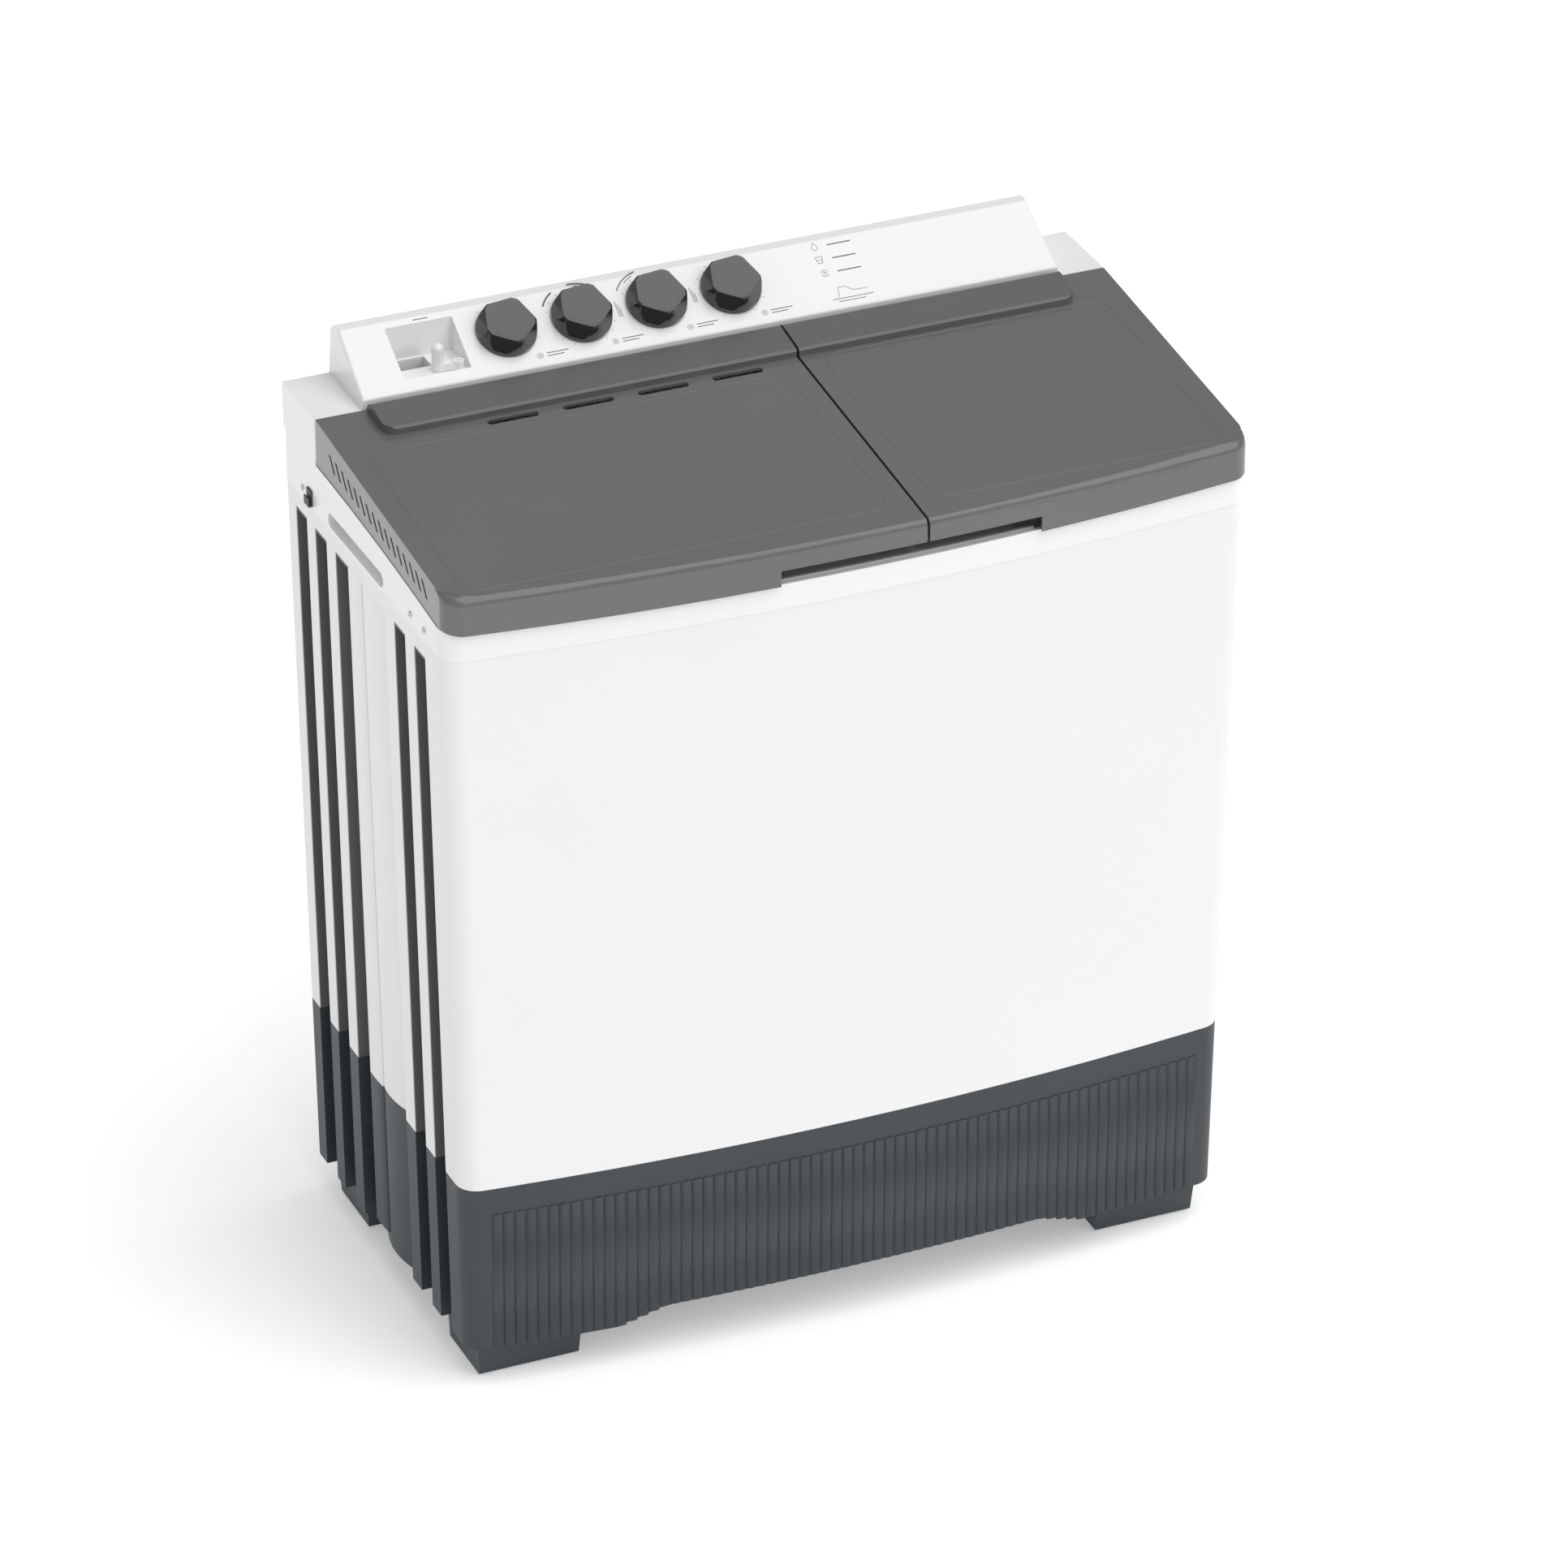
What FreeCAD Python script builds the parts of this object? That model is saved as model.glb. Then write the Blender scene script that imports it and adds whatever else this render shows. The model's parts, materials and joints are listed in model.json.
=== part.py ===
"""Twin tub washing machine as an assembly of separate pieces, one STEP file per piece.

Millimetres, +Z up, +Y to the back, -Y to the user's side, X to the user's right as seen from the
front. The origin is on the floor under the middle of the machine's outer box.
"""
import FreeCAD, Part
import math
import os
from FreeCAD import Vector as V

os.makedirs("parts", exist_ok=True)

# --- driving dimensions -----------------------------------------------------------------------
half_width = 450.0        # cabinet, half its width at the top seam
front_y = -228.5          # front corners at the top seam, before the bow
rear_y = 226.0            # flat back of the cabinet
bow = 27.0                # how far the front face bows out between its corners
side_draft = 11.0         # the sides lean in by this much from the top seam to the base seam
front_draft = 5.0         # and the front corners by this much
corner_r = 24.0           # front corners, rear_r the rear ones
rear_r = 12.0
z_foot = 3.0              # underside of the feet, on their pads
z_skirt = 46.0            # lower edge of the base skirt at the feet
z_arch = 62.0             # and in the middle, over the toe arch
z_base = 244.0            # seam between the dark base and the white cabinet
z_seam = 877.0            # seam between the cabinet and the top cover
wall = 3.5                # cabinet and base mouldings
cover_wall = 4.0
deck_up = 20.0            # deck round the tub openings, above the seam
z_deck = z_seam + deck_up
lid_half = half_width     # lids, half their joint width
lid_front = front_y - 8.5  # lid front corners, ahead of the cabinet's
lid_rear = 126.5
lid_wall = 3.0
lid_rear_z = z_deck + 90.5  # lid top at its rear edge
lid_slope = 0.1           # fall of the lid top towards the front
lid_split = 70.0          # the two lids part here
lid_gap = 2.0             # lid skirt to top cover
notch_x0, notch_x1 = -94.0, 200.0  # finger notch in the lids' front skirts
nose_r = 12.0             # rounding of the lids' front upper edge
hinge_y, hinge_z = 114.0, lid_rear_z - 1.5
hinge_pin_r = 3.0
run = 0.08                # radial clearance of every running fit
console_half = half_width - 53.0
strip_half = console_half - 4.0    # raised hinge covers along the rear of the lids
strip_front = 71.0
strip_r = 12.5
console_front = 128.0     # upright front wall of the console
z_console_low = z_deck + 40.5   # console sits on the top cover here
z_shelf = z_console_low + 49.5  # shelf either side of the console
z_face = z_shelf + 11.0         # lower edge of the sloping control face
face_run, face_rise = 75.0, 46.0
z_console_top = z_face + face_rise
knob_pitch = 85.0
knob_first = -219.5       # centre of the leftmost knob
knob_up = 50.0            # knob centres above the lower edge of the control face
knob_r, knob_top_r, knob_h = 33.0, 28.0, 22.0
shaft_r = 3.0
channel_depth = 14.0      # upright grooves in the sides
bulge_r = 128.0           # rounded panel between the grooves
bulge_y = -7.5
strip_t = 1.6             # dark groove liners
tub_x0, tub_x1 = -405.0, 35.0
tub_y0, tub_y1 = -205.0, 103.0
tub_r = 55.0
tub_floor = 440.0
tub_wall = 2.5
agit_x, agit_y = (tub_x0 + tub_x1) / 2, (tub_y0 + tub_y1) / 2
agit_r = 138.0
spin_x, spin_y = 245.0, -45.0
spin_tub_r = 170.0
spin_floor = 470.0
basket_r = 150.0
motor_x, motor_y = -5.0, 30.0
pulley_r, motor_pulley_r = 100.0, 28.0
pulley_z0, pulley_z1 = tub_floor - 137.0, tub_floor - 115.0
drain_x, drain_y = knob_first + 2 * knob_pitch, 150.0
hose_r, hose_wall = 14.0, 2.5
outlet_x, outlet_z = -330.0, 150.0
gland_x, gland_z = 330.0, 275.0
grooves = ((193.0, 161.0), (137.5, 104.0), (79.0, 47.0), (-88.0, -119.0), (-144.0, -175.0))
bulge_y0, bulge_y1 = -62.0, 47.0
z_high = z_seam + 223.0   # cutting tools reach this far up and this far out
x_out = half_width + 50.0

draft_deg = math.degrees(math.atan(side_draft / (z_seam - z_base)))
face_deg = math.degrees(math.atan2(face_rise, face_run))
face_len = math.hypot(face_run, face_rise)
parts = {}


# --- helpers ----------------------------------------------------------------------------------
def box(x0, x1, y0, y1, z0, z1):
    return Part.makeBox(x1 - x0, y1 - y0, z1 - z0, V(x0, y0, z0))


def rod(x, y, z0, z1, r):
    return Part.makeCylinder(r, z1 - z0, V(x, y, z0))


def ring(x, y, z0, z1, r_out, r_in):
    return rod(x, y, z0, z1, r_out).cut(rod(x, y, z0 - 1, z1 + 1, r_in))


def rod_along(start, direction, length, r):
    return Part.makeCylinder(r, length, V(*start), V(*direction))


def rounded_box(x0, x1, y0, y1, z0, z1, r):
    block = box(x0, x1, y0, y1, z0, z1)
    upright = [e for e in block.Edges if abs(e.Vertexes[0].Z - e.Vertexes[1].Z) > 0.5 * (z1 - z0)]
    return block.makeFillet(r, upright)


def turned(profile, x, y):
    """Solid of revolution about the upright line through x, y; profile is (radius, z) corners."""
    face = Part.Face(Part.makePolygon([V(r, 0, z) for r, z in profile + [profile[0]]]))
    solid = face.revolve(V(0, 0, 0), V(0, 0, 1), 360)
    solid.translate(V(x, y, 0))
    return solid


def prism_x(points, x0, x1):
    """Extrusion along X of a polygon given as (y, z)."""
    face = Part.Face(Part.makePolygon([V(x0, y, z) for y, z in points + [points[0]]]))
    return face.extrude(V(x1 - x0, 0, 0))


def fuse(first, *others):
    return first.multiFuse([s for s in others]).removeSplitter()


def mirrored(shape):
    return shape.mirror(V(0, 0, 0), V(1, 0, 0))


def both_sides(shape):
    return [shape, mirrored(shape)]


def plan(half, y_front, y_rear, r_front, r_rear, z):
    """Closed outline at height z: straight sides and back, bowed front, rounded corners."""
    big_r = (half * half + bow * bow) / (2 * bow)
    cy = y_front - bow + big_r
    fx = half - r_front
    fy = cy - math.sqrt((big_r - r_front) ** 2 - fx * fx)
    k = big_r / (big_r - r_front)
    tx, ty = fx * k, cy + (fy - cy) * k
    ux, uy = 1 + (tx - fx) / r_front, (ty - fy) / r_front
    n = math.hypot(ux, uy)
    mx, my = fx + r_front * ux / n, fy + r_front * uy / n
    q = r_rear * (1 - math.sqrt(0.5))
    corner = y_rear - r_rear
    edges = [
        Part.Arc(V(-tx, ty, z), V(0, y_front - bow, z), V(tx, ty, z)).toShape(),
        Part.Arc(V(tx, ty, z), V(mx, my, z), V(half, fy, z)).toShape(),
        Part.makeLine(V(half, fy, z), V(half, corner, z)),
        Part.Arc(V(half, corner, z), V(half - q, y_rear - q, z),
                 V(half - r_rear, y_rear, z)).toShape(),
        Part.makeLine(V(half - r_rear, y_rear, z), V(-half + r_rear, y_rear, z)),
        Part.Arc(V(-half + r_rear, y_rear, z), V(-half + q, y_rear - q, z),
                 V(-half, corner, z)).toShape(),
        Part.makeLine(V(-half, corner, z), V(-half, fy, z)),
        Part.Arc(V(-half, fy, z), V(-mx, my, z), V(-tx, ty, z)).toShape(),
    ]
    return Part.Wire(edges)


def body_plan(z, inset):
    """Outline of the drafted body at height z, moved in by inset."""
    down = (z_seam - z) / (z_seam - z_base)
    return plan(half_width - side_draft * down - inset, front_y + front_draft * down + inset,
                rear_y - inset, corner_r - inset, rear_r - inset, z)


def body_block(z0, z1, inset=0.0):
    return Part.makeLoft([body_plan(z0, inset), body_plan(z1, inset)], True, True)


def cover_block(z0, z1, inset=0.0):
    wires = [plan(half_width + 0.5 - inset, front_y - 1.5 + inset, rear_y - inset,
                  corner_r - inset, rear_r - inset, z) for z in (z0, z1)]
    return Part.makeLoft(wires, True, True)


def on_left_side(shape):
    """Lean an upright shape built against x = -half_width to follow the drafted left side."""
    shape = shape.copy()
    shape.rotate(V(-half_width, 0, z_seam), V(0, 1, 0), -draft_deg)
    return shape


def on_face(shape):
    """Place a shape built with x across, y up the control face and z out of it."""
    shape = shape.copy()
    shape.rotate(V(0, 0, 0), V(1, 0, 0), face_deg)
    shape.translate(V(0, console_front, z_face))
    return shape


def hose(points, bend, r_out, r_in):
    """Hollow hose along straight runs joined by tangent arcs; its ends are cut square."""
    edges, start = [], V(*points[0])
    for here, after in zip(points[1:-1], points[2:]):
        here, after = V(*here), V(*after)
        a, b = (start - here).normalize(), (after - here).normalize()
        half = a.getAngle(b) / 2
        t = bend / math.tan(half)
        p, q = here + a * t, here + b * t
        mid = here + (a + b).normalize() * (bend / math.sin(half) - bend)
        edges += [Part.makeLine(start, p), Part.Arc(p, mid, q).toShape()]
        start = q
    edges.append(Part.makeLine(start, V(*points[-1])))
    path = Part.Wire(edges)
    axis = (V(*points[1]) - V(*points[0])).normalize()
    shells = [path.makePipeShell([Part.Wire(Part.makeCircle(r, V(*points[0]), axis))], True, False)
              for r in (r_out, r_in)]
    return shells[0].cut(shells[1])


def screw(start, direction, head_r=4.0, head_h=2.2, shank_r=1.5, length=9.0):
    """Pan-head screw: start is under the head, direction points out of the hole."""
    d = V(*direction)
    head = Part.makeCylinder(head_r, head_h, V(*start), d)
    rim = [e for e in head.Edges if e.Closed and (e.CenterOfMass - V(*start)).dot(d) > head_h / 2]
    head = head.makeFillet(0.8, rim)
    return head.fuse(Part.makeCylinder(shank_r, length, V(*start), d * -1)).removeSplitter()


# --- cabinet, base and the grooves in their sides ----------------------------------------------
def groove(y_back, y_front, z0, z1, depth, grow=0.0, ramp=True):
    """One upright groove, as the solid to take away; its upper end runs out in a ramp."""
    x = -half_width
    rise = 20.0 if ramp else 0.0
    z1 = z1 + grow
    profile = [(x - 6, z0), (x + depth + grow, z0), (x + depth + grow, z1 - rise),
               (x + 0.45 * depth + grow, z1 - 0.3 * rise), (x + grow, z1), (x - 6, z1)]
    face = Part.Face(Part.makePolygon([V(a, 0, b) for a, b in profile + [profile[0]]]))
    solid = face.extrude(V(0, y_back - y_front + 2 * grow, 0))
    solid.translate(V(0, y_front - grow, 0))
    return on_left_side(solid)


def bulge(z0, z1, inset=0.0):
    """The rounded panel that swells out of the widest groove."""
    x = -half_width
    axis_x = x + 2.0 + bulge_r
    log = rod(axis_x, bulge_y, z0, z1, bulge_r - inset)
    slab = box(x - 1, x + channel_depth + 0.5 + inset, bulge_y0 - 2, bulge_y1 + 2, z0, z1)
    return on_left_side(log.common(slab))


def groove_set(z0, z1, grow=0.0, ramp=True):
    wide = (grooves[2][0], bulge_y0)
    return [groove(a, b, z0, z1, channel_depth, grow, ramp)
            for a, b in (grooves[0], grooves[1], wide, grooves[3], grooves[4])]


def moulded_body(z0, z1, cut0, cut1, thick, ramp):
    """Drafted shell with both sides grooved and the wall following every groove."""
    outside = body_block(z0, z1)
    inside = body_block(z0 - 1, z1 + 1, thick)
    cuts = groove_set(cut0, cut1, 0.0, ramp)
    grown = groove_set(cut0, cut1, thick, ramp)
    swell, swell_in = bulge(cut0, cut1 - 1), bulge(cut0, cut1 - 1 - thick, thick)
    for side in (0, 1):
        outside = outside.cut([both_sides(c)[side] for c in cuts])
        outside = outside.fuse(both_sides(swell)[side].common(body_block(z0, z1)))
        inside = inside.cut([both_sides(c)[side] for c in grown])
        inside = inside.fuse(both_sides(swell_in)[side])
    return outside.cut(inside)


groove_top = z_seam - 20.0
panel_x, panel_z0, panel_z1 = half_width - 110.0, z_base + 56.0, z_seam - 47.0
cabinet = moulded_body(z_base, z_seam, z_base - 5, groove_top, wall, True)
openings = [box(-panel_x + 20, panel_x - 20, rear_y - 15, rear_y + 5, panel_z0 + 20, panel_z1 - 20),
            rod_along((gland_x, rear_y - 12, gland_z), (0, 1, 0), 14, 8.0)]
panel_screws = [(sx * (panel_x - 10), z) for sx in (-1, 1)
                for z in (panel_z0 + 12, (panel_z0 + panel_z1) / 2 + 4.1, panel_z1 - 12)]
panel_screws += [(x, z) for x in (-120.0, 120.0) for z in (panel_z0 + 10, panel_z1 - 5.9)]
openings += [rod_along((x, rear_y - 12, z), (0, 1, 0), 14, 1.9) for x, z in panel_screws]

liners = []
for i, (y_back, y_front) in enumerate(grooves):
    liner = groove(y_back, y_front, z_base, groove_top, channel_depth)
    liner = liner.common(on_left_side(box(-half_width + 0.8, -half_width + 30, -300, 300,
                                          z_base - 9, groove_top - 1)))
    hollow = groove(y_back - strip_t, y_front + (strip_t if i != 2 else -1.0), z_base - 9,
                    groove_top - 2 * strip_t, channel_depth - strip_t)
    liner = liner.cut(hollow)
    if i == 2:
        liner = liner.cut(bulge(z_base - 9, groove_top))
    liners += both_sides(liner.common(box(-x_out, 0, -300, 300, z_base, z_seam)))

base = moulded_body(z_skirt, z_base, z_skirt - 5, z_base + 5, wall, False)
plate_z = 66.0
floor_plate = body_block(plate_z, plate_z + wall, wall - 0.5)
floor_plate = floor_plate.cut([s for c in groove_set(z_skirt - 5, z_base + 5, 1.0, False)
                               for s in both_sides(c)])
floor_plate = floor_plate.cut(rounded_box(-330, 60, -150, 150, 50, 90, 30))
base = base.fuse(floor_plate)
foot_x1 = half_width - 33.0
foot_x0 = foot_x1 - 114.0
for sx in (-1, 1):
    for y0, y1, lean in ((-203.0, -120.0, -9.0), (118.0, 200.0, 9.0)):
        lo, hi = [], []
        for x, y in ((foot_x0, y0), (foot_x1, y0), (foot_x1, y1), (foot_x0, y1)):
            outer = y == (y0 if lean < 0 else y1)
            lo.append(V(sx * x, y, z_foot))
            hi.append(V(sx * (x + (3 if x == foot_x1 else -3)), y + (lean if outer else 0),
                        plate_z + 1))
        foot = Part.makeLoft([Part.makePolygon(lo + [lo[0]]), Part.makePolygon(hi + [hi[0]])],
                             True, True)
        base = base.fuse(foot)
arch_half = [(93, z_arch), (77, z_arch - 2), (35, z_skirt + 2), (31, z_skirt - 1), (1, z_skirt - 1),
             (1, z_skirt - 10)]
arch = [(foot_x0 - x, z) for x, z in arch_half] + [(x - foot_x0, z) for x, z in reversed(arch_half)]
arch_face = Part.Face(Part.makePolygon([V(x, -300, z) for x, z in arch + [arch[0]]]))
base = base.cut(arch_face.extrude(V(0, 600, 0)))
base = base.cut(rod_along((outlet_x, rear_y - 12, outlet_z), (0, 1, 0), 30, hose_r - 1.0))
boss_xy = [(spin_x + 62 * math.cos(a), spin_y + 62 * math.sin(a))
           for a in (math.radians(90), math.radians(210), math.radians(330))]
for x, y in boss_xy:
    base = base.fuse(rod(x, y, plate_z + 1, plate_z + 14, 8.0))
parts["base"] = base.removeSplitter()
cabinet = cabinet.removeSplitter()
corner_x = half_width - 60.0      # the moulding is kept as four walls that meet face to face
quarters = [box(-x_out, -corner_x, -x_out, x_out, 0, z_high),
            box(corner_x, x_out, -x_out, x_out, 0, z_high), box(-corner_x, corner_x, -x_out, 0, 0, z_high)]
rear_wall = box(-corner_x, corner_x, rear_y - wall, rear_y, z_base, z_seam).cut(openings)
parts["cabinet_shell"] = Part.makeCompound([cabinet.common(q) for q in quarters] + [rear_wall])
parts["side_strips"] = Part.makeCompound(liners)
parts["foot_pads"] = Part.makeCompound(
    [rounded_box(x0, x0 + foot_x1 - foot_x0 - 14, y0, y0 + 66, 0, z_foot, 6)
     for x0 in (-foot_x1 + 7, foot_x0 + 7) for y0 in (-194.0, 126.0)])

# --- top cover with the two tub openings ---------------------------------------------------------
def crest(gap):
    """Everything above the long arc that the top cover's side edge and the lid skirts follow."""
    start, mid, end = (V(0, y, z_deck + up + gap)
                       for y, up in ((-270, 6.0), (-72, 27.0), (128, 37.0)))
    arc = Part.Arc(start, mid, end).toShape()
    up = [Part.makeLine(end, V(0, 128, z_high)), Part.makeLine(V(0, 128, z_high), V(0, -270, z_high)),
          Part.makeLine(V(0, -270, z_high), start)]
    face = Part.Face(Part.Wire([arc] + up))
    face.translate(V(-x_out, 0, 0))
    return face.extrude(V(2 * x_out, 0, 0))


deck_z0 = z_deck - cover_wall
cover = cover_block(z_seam, z_console_low)
cover = cover.cut(crest(0.0).common(box(-x_out, x_out, -300, console_front, z_base, z_high)))
lower_void = cover_block(z_seam - 1, deck_z0, cover_wall)
upper_void = cover_block(z_deck, z_console_low + 1, cover_wall)
cover = cover.cut(lower_void)
cover = cover.cut(upper_void)
tongue = body_block(z_seam - 9, deck_z0 + 1, wall + 0.6).cut(
    body_block(z_seam - 10, deck_z0 + 2, wall + 0.6 + 2.5))
cover = cover.fuse(tongue.cut([box(-x_out, x_out, y - 2, y + 2, 0, z_seam) for y in (-131.0, 97.0)]))
tub_hole = rounded_box(tub_x0, tub_x1, tub_y0, tub_y1, z_deck - 17, z_deck + 33, tub_r)
tub_lip = rounded_box(tub_x0 - 4, tub_x1 + 4, tub_y0 - 4, tub_y1 + 4, deck_z0, z_deck + 7,
                      tub_r + 4)
spin_hole_r = spin_tub_r - 8
cover = cover.fuse(tub_lip).fuse(rod(spin_x, spin_y, deck_z0, z_deck + 7, spin_hole_r + 4))
cover = cover.cut(tub_hole).cut(rod(spin_x, spin_y, z_deck - 17, z_deck + 33, spin_hole_r))
cover = cover.cut(rounded_box(-360, 380, console_front + 14, rear_y - 18, z_deck - 17, z_deck + 3, 8))
grip_y0, grip_y1, grip_z, grip_r, grip_depth = -62.0, 95.0, z_seam + 11.5, 8.5, 24.0


def grip(grow, depth):
    """Finger recess under the side edge, stadium shaped, as a solid."""
    r = grip_r + grow
    x = -half_width - 0.5
    slot = box(x, x + depth, grip_y0 + grip_r, grip_y1 - grip_r, grip_z - r, grip_z + r)
    for y in (grip_y0 + grip_r, grip_y1 - grip_r):
        slot = slot.fuse(rod_along((x, y, grip_z), (1, 0, 0), depth, r))
    return slot


for side in (0, 1):
    cover = cover.fuse(both_sides(grip(2.8, grip_depth + 3))[side])
    cover = cover.cut(both_sides(grip(0.0, grip_depth))[side])
side_screws = [(y, z_seam + 12.5) for y in (-176.0, -138.0, 168.0)]
screw_list = []
for y, z in side_screws:
    for side, d in ((-1, -1), (1, 1)):
        x = side * (half_width + 0.5)
        cover = cover.cut(rod_along((x + 5 * d, y, z), (-d, 0, 0), 16, 1.5))
        screw_list.append(screw((x, y, z), (d, 0, 0), 3.6, 1.6))
console_pads = [(sx * (half_width - 20.0), y) for sx in (-1, 1) for y in (140.0, 205.0)]
for x, y in console_pads:
    cover = cover.fuse(box(x - 9, x + 9, y - 7, y + 7, z_deck - 1, z_console_low))
ledge = cover_block(z_deck - 1, z_deck + 9.5, cover_wall + 3).cut(
    cover_block(z_deck - 2, z_deck + 10, cover_wall + 6))
cover = cover.fuse(ledge.common(box(notch_x0 + 3, notch_x1 - 3, -400, -200, z_deck - 2, z_high)))
parts["top_cover"] = cover.removeSplitter()
parts["top_cover_screws"] = Part.makeCompound(screw_list)

# --- console ---------------------------------------------------------------------------------------
con_wall = 3.0
console_rear = rear_y - 2.0


def console_profile(inset):
    """Side outline of the raised console, from its underside up round the control face."""
    i = inset
    k = i * math.tan(math.radians(face_deg / 2))
    return [(console_front + i, z_console_low - 1), (console_front + i, z_face - k),
            (console_front + face_run - 0.0 + k * 0.5, z_console_top - i),
            (console_rear - 6 - i * 0.4, z_console_top - i),
            (console_rear - i, z_console_top - 7 - i * 0.4), (console_rear - i, z_console_low - 1)]


def console_body(inset):
    prism = prism_x(console_profile(inset), -console_half - 20, console_half + 20)
    z0, z1 = z_console_low - 2, z_console_top + 2
    outline = []
    for z, half in ((z0, console_half + 3 - inset), (z1, console_half - 3 - inset)):
        outline.append(Part.makePolygon([V(-half, 0, z), V(half, 0, z), V(half, 400, z),
                                         V(-half, 400, z), V(-half, 0, z)]))
    return prism.common(Part.makeLoft(outline, True, True))


shelf = rounded_box(-half_width - 0.5, half_width + 0.5, console_front, console_rear, z_console_low,
                    z_shelf, 2.0)
shelf_in = rounded_box(-half_width - 0.5 + con_wall, half_width + 0.5 - con_wall,
                       console_front + con_wall, console_rear - con_wall, z_console_low - 1,
                       z_shelf - con_wall, 1.0)
console = shelf.fuse(console_body(0.0).common(box(-x_out, x_out, 0, 400, z_console_low, z_high)))
edge_pick = [e for e in console.Edges if e.BoundBox.ZMin > z_shelf + 5 and e.Length > 60]
console = console.makeFillet(3.5, edge_pick)
console = console.cut(shelf_in).cut(console_body(con_wall))
recess_x0, recess_x1, recess_v0, recess_v1 = -345.0, -270.0, 15.0, 80.0
recess_y0 = console_front + recess_v0 * math.cos(math.radians(face_deg))
recess_y1 = console_front + recess_v1 * math.cos(math.radians(face_deg))
recess_z = z_face + recess_v0 * math.sin(math.radians(face_deg)) - 5.0
console = console.fuse(box(recess_x0 - con_wall, recess_x1 + con_wall, recess_y0 - con_wall,
                           recess_y1 + con_wall, recess_z - con_wall, z_console_top - 1)
                       .common(console_body(0.5)))
console = console.cut(box(recess_x0, recess_x1, recess_y0, recess_y1, recess_z, z_console_top + 5))
window = (recess_x0 + 3, recess_x0 + 42, recess_y1 - 26, recess_y1 - 2)
console = console.cut(box(window[0], window[1], window[2], window[3], recess_z - 10, recess_z + 1))
pivot_x, pivot_y = recess_x1 - 10.0, recess_y0 + 12.0
console = console.cut(rod(pivot_x, pivot_y, recess_z - 10, recess_z + 1, shaft_r + run))
knob_xs = [knob_first + i * knob_pitch for i in range(4)]
for x in knob_xs:
    console = console.cut(on_face(rod(x, knob_up, -con_wall - 1, 1, shaft_r + 0.5)))
post_xs = (25.0 - console_half, 48.0, 92.0, console_half - 25.0)
for x in post_xs:
    post = box(x - 5, x + 5, hinge_y - 5, hinge_y + 5, z_console_low + 6.5, hinge_z)
    post = post.fuse(rod_along((x - 5, hinge_y, hinge_z), (1, 0, 0), 10, 5.0))
    post = post.fuse(box(x - 5, x + 5, hinge_y - 5, console_front + 1, z_console_low + 6.5,
                         z_console_low + 18.5))
    console = console.fuse(post)
    console = console.cut(rod_along((x - 6, hinge_y, hinge_z), (1, 0, 0), 12, hinge_pin_r + run))
chute_z0, chute_z1 = z_console_low + 8.5, z_console_low + 34.5
for x0, x1 in ((-330.0, -290.0), (225.0, 265.0)):
    console = console.cut(box(x0 - 0.5, x1 + 0.5, console_front - 1, console_front + con_wall + 1,
                              chute_z0 - 0.5, chute_z1 + 0.5))
for x, y in console_pads:
    console = console.fuse(ring(x, y, z_console_low, z_shelf - con_wall + 0.5, 5.0, 1.6))
parts["console_housing"] = console.removeSplitter()

# --- back panel and rear screws -------------------------------------------------------------------
panel_t = 1.2
panel = rounded_box(-panel_x, panel_x, rear_y, rear_y + panel_t, panel_z0, panel_z1, 0.5)
louvre = box(-60, 60, rear_y - 1, rear_y + 5, -2.5, 2.5)
for i in range(7):
    for cx in (-180.0, 0.0, 180.0):
        cut = louvre.copy()
        cut.translate(V(cx, 0, panel_z0 + 60 + i * 16))
        panel = panel.cut(cut)
rear_screws = []
for x, z in panel_screws:
    panel = panel.cut(rod_along((x, rear_y - 2, z), (0, 1, 0), 6, 1.9))
    rear_screws.append(screw((x, rear_y + panel_t, z), (0, 1, 0)))
parts["back_panel"] = panel
parts["rear_screws"] = Part.makeCompound(rear_screws)

# --- lids -----------------------------------------------------------------------------------------
def lid_plane(y):
    return lid_rear_z - lid_slope * (lid_rear - y)


def lid_block(inset, rear=lid_rear):
    """Both lids as one bowed block with a rounded nose; inset gives the hollow underneath."""
    sections = [(0.0, z_deck - 17)]
    steps = 5
    top = z_deck + 43.0 - inset
    for i in range(steps + 1):
        a = math.radians(90.0 * i / steps)
        sections.append((nose_r * (1 - math.cos(a)), top + nose_r * math.sin(a)))
    sections.append((nose_r, lid_rear_z + 32.5))
    wires = [plan(lid_half - inset, lid_front + inset + back, rear, corner_r - inset, 1.0, z)
             for back, z in sections]
    block = Part.makeLoft(wires, True, True)
    under = prism_x([(-320, lid_plane(-320) - inset), (-320, z_base), (320, z_base),
                     (320, lid_plane(320) - inset)], -x_out, x_out)
    return block.common(under)


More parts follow.
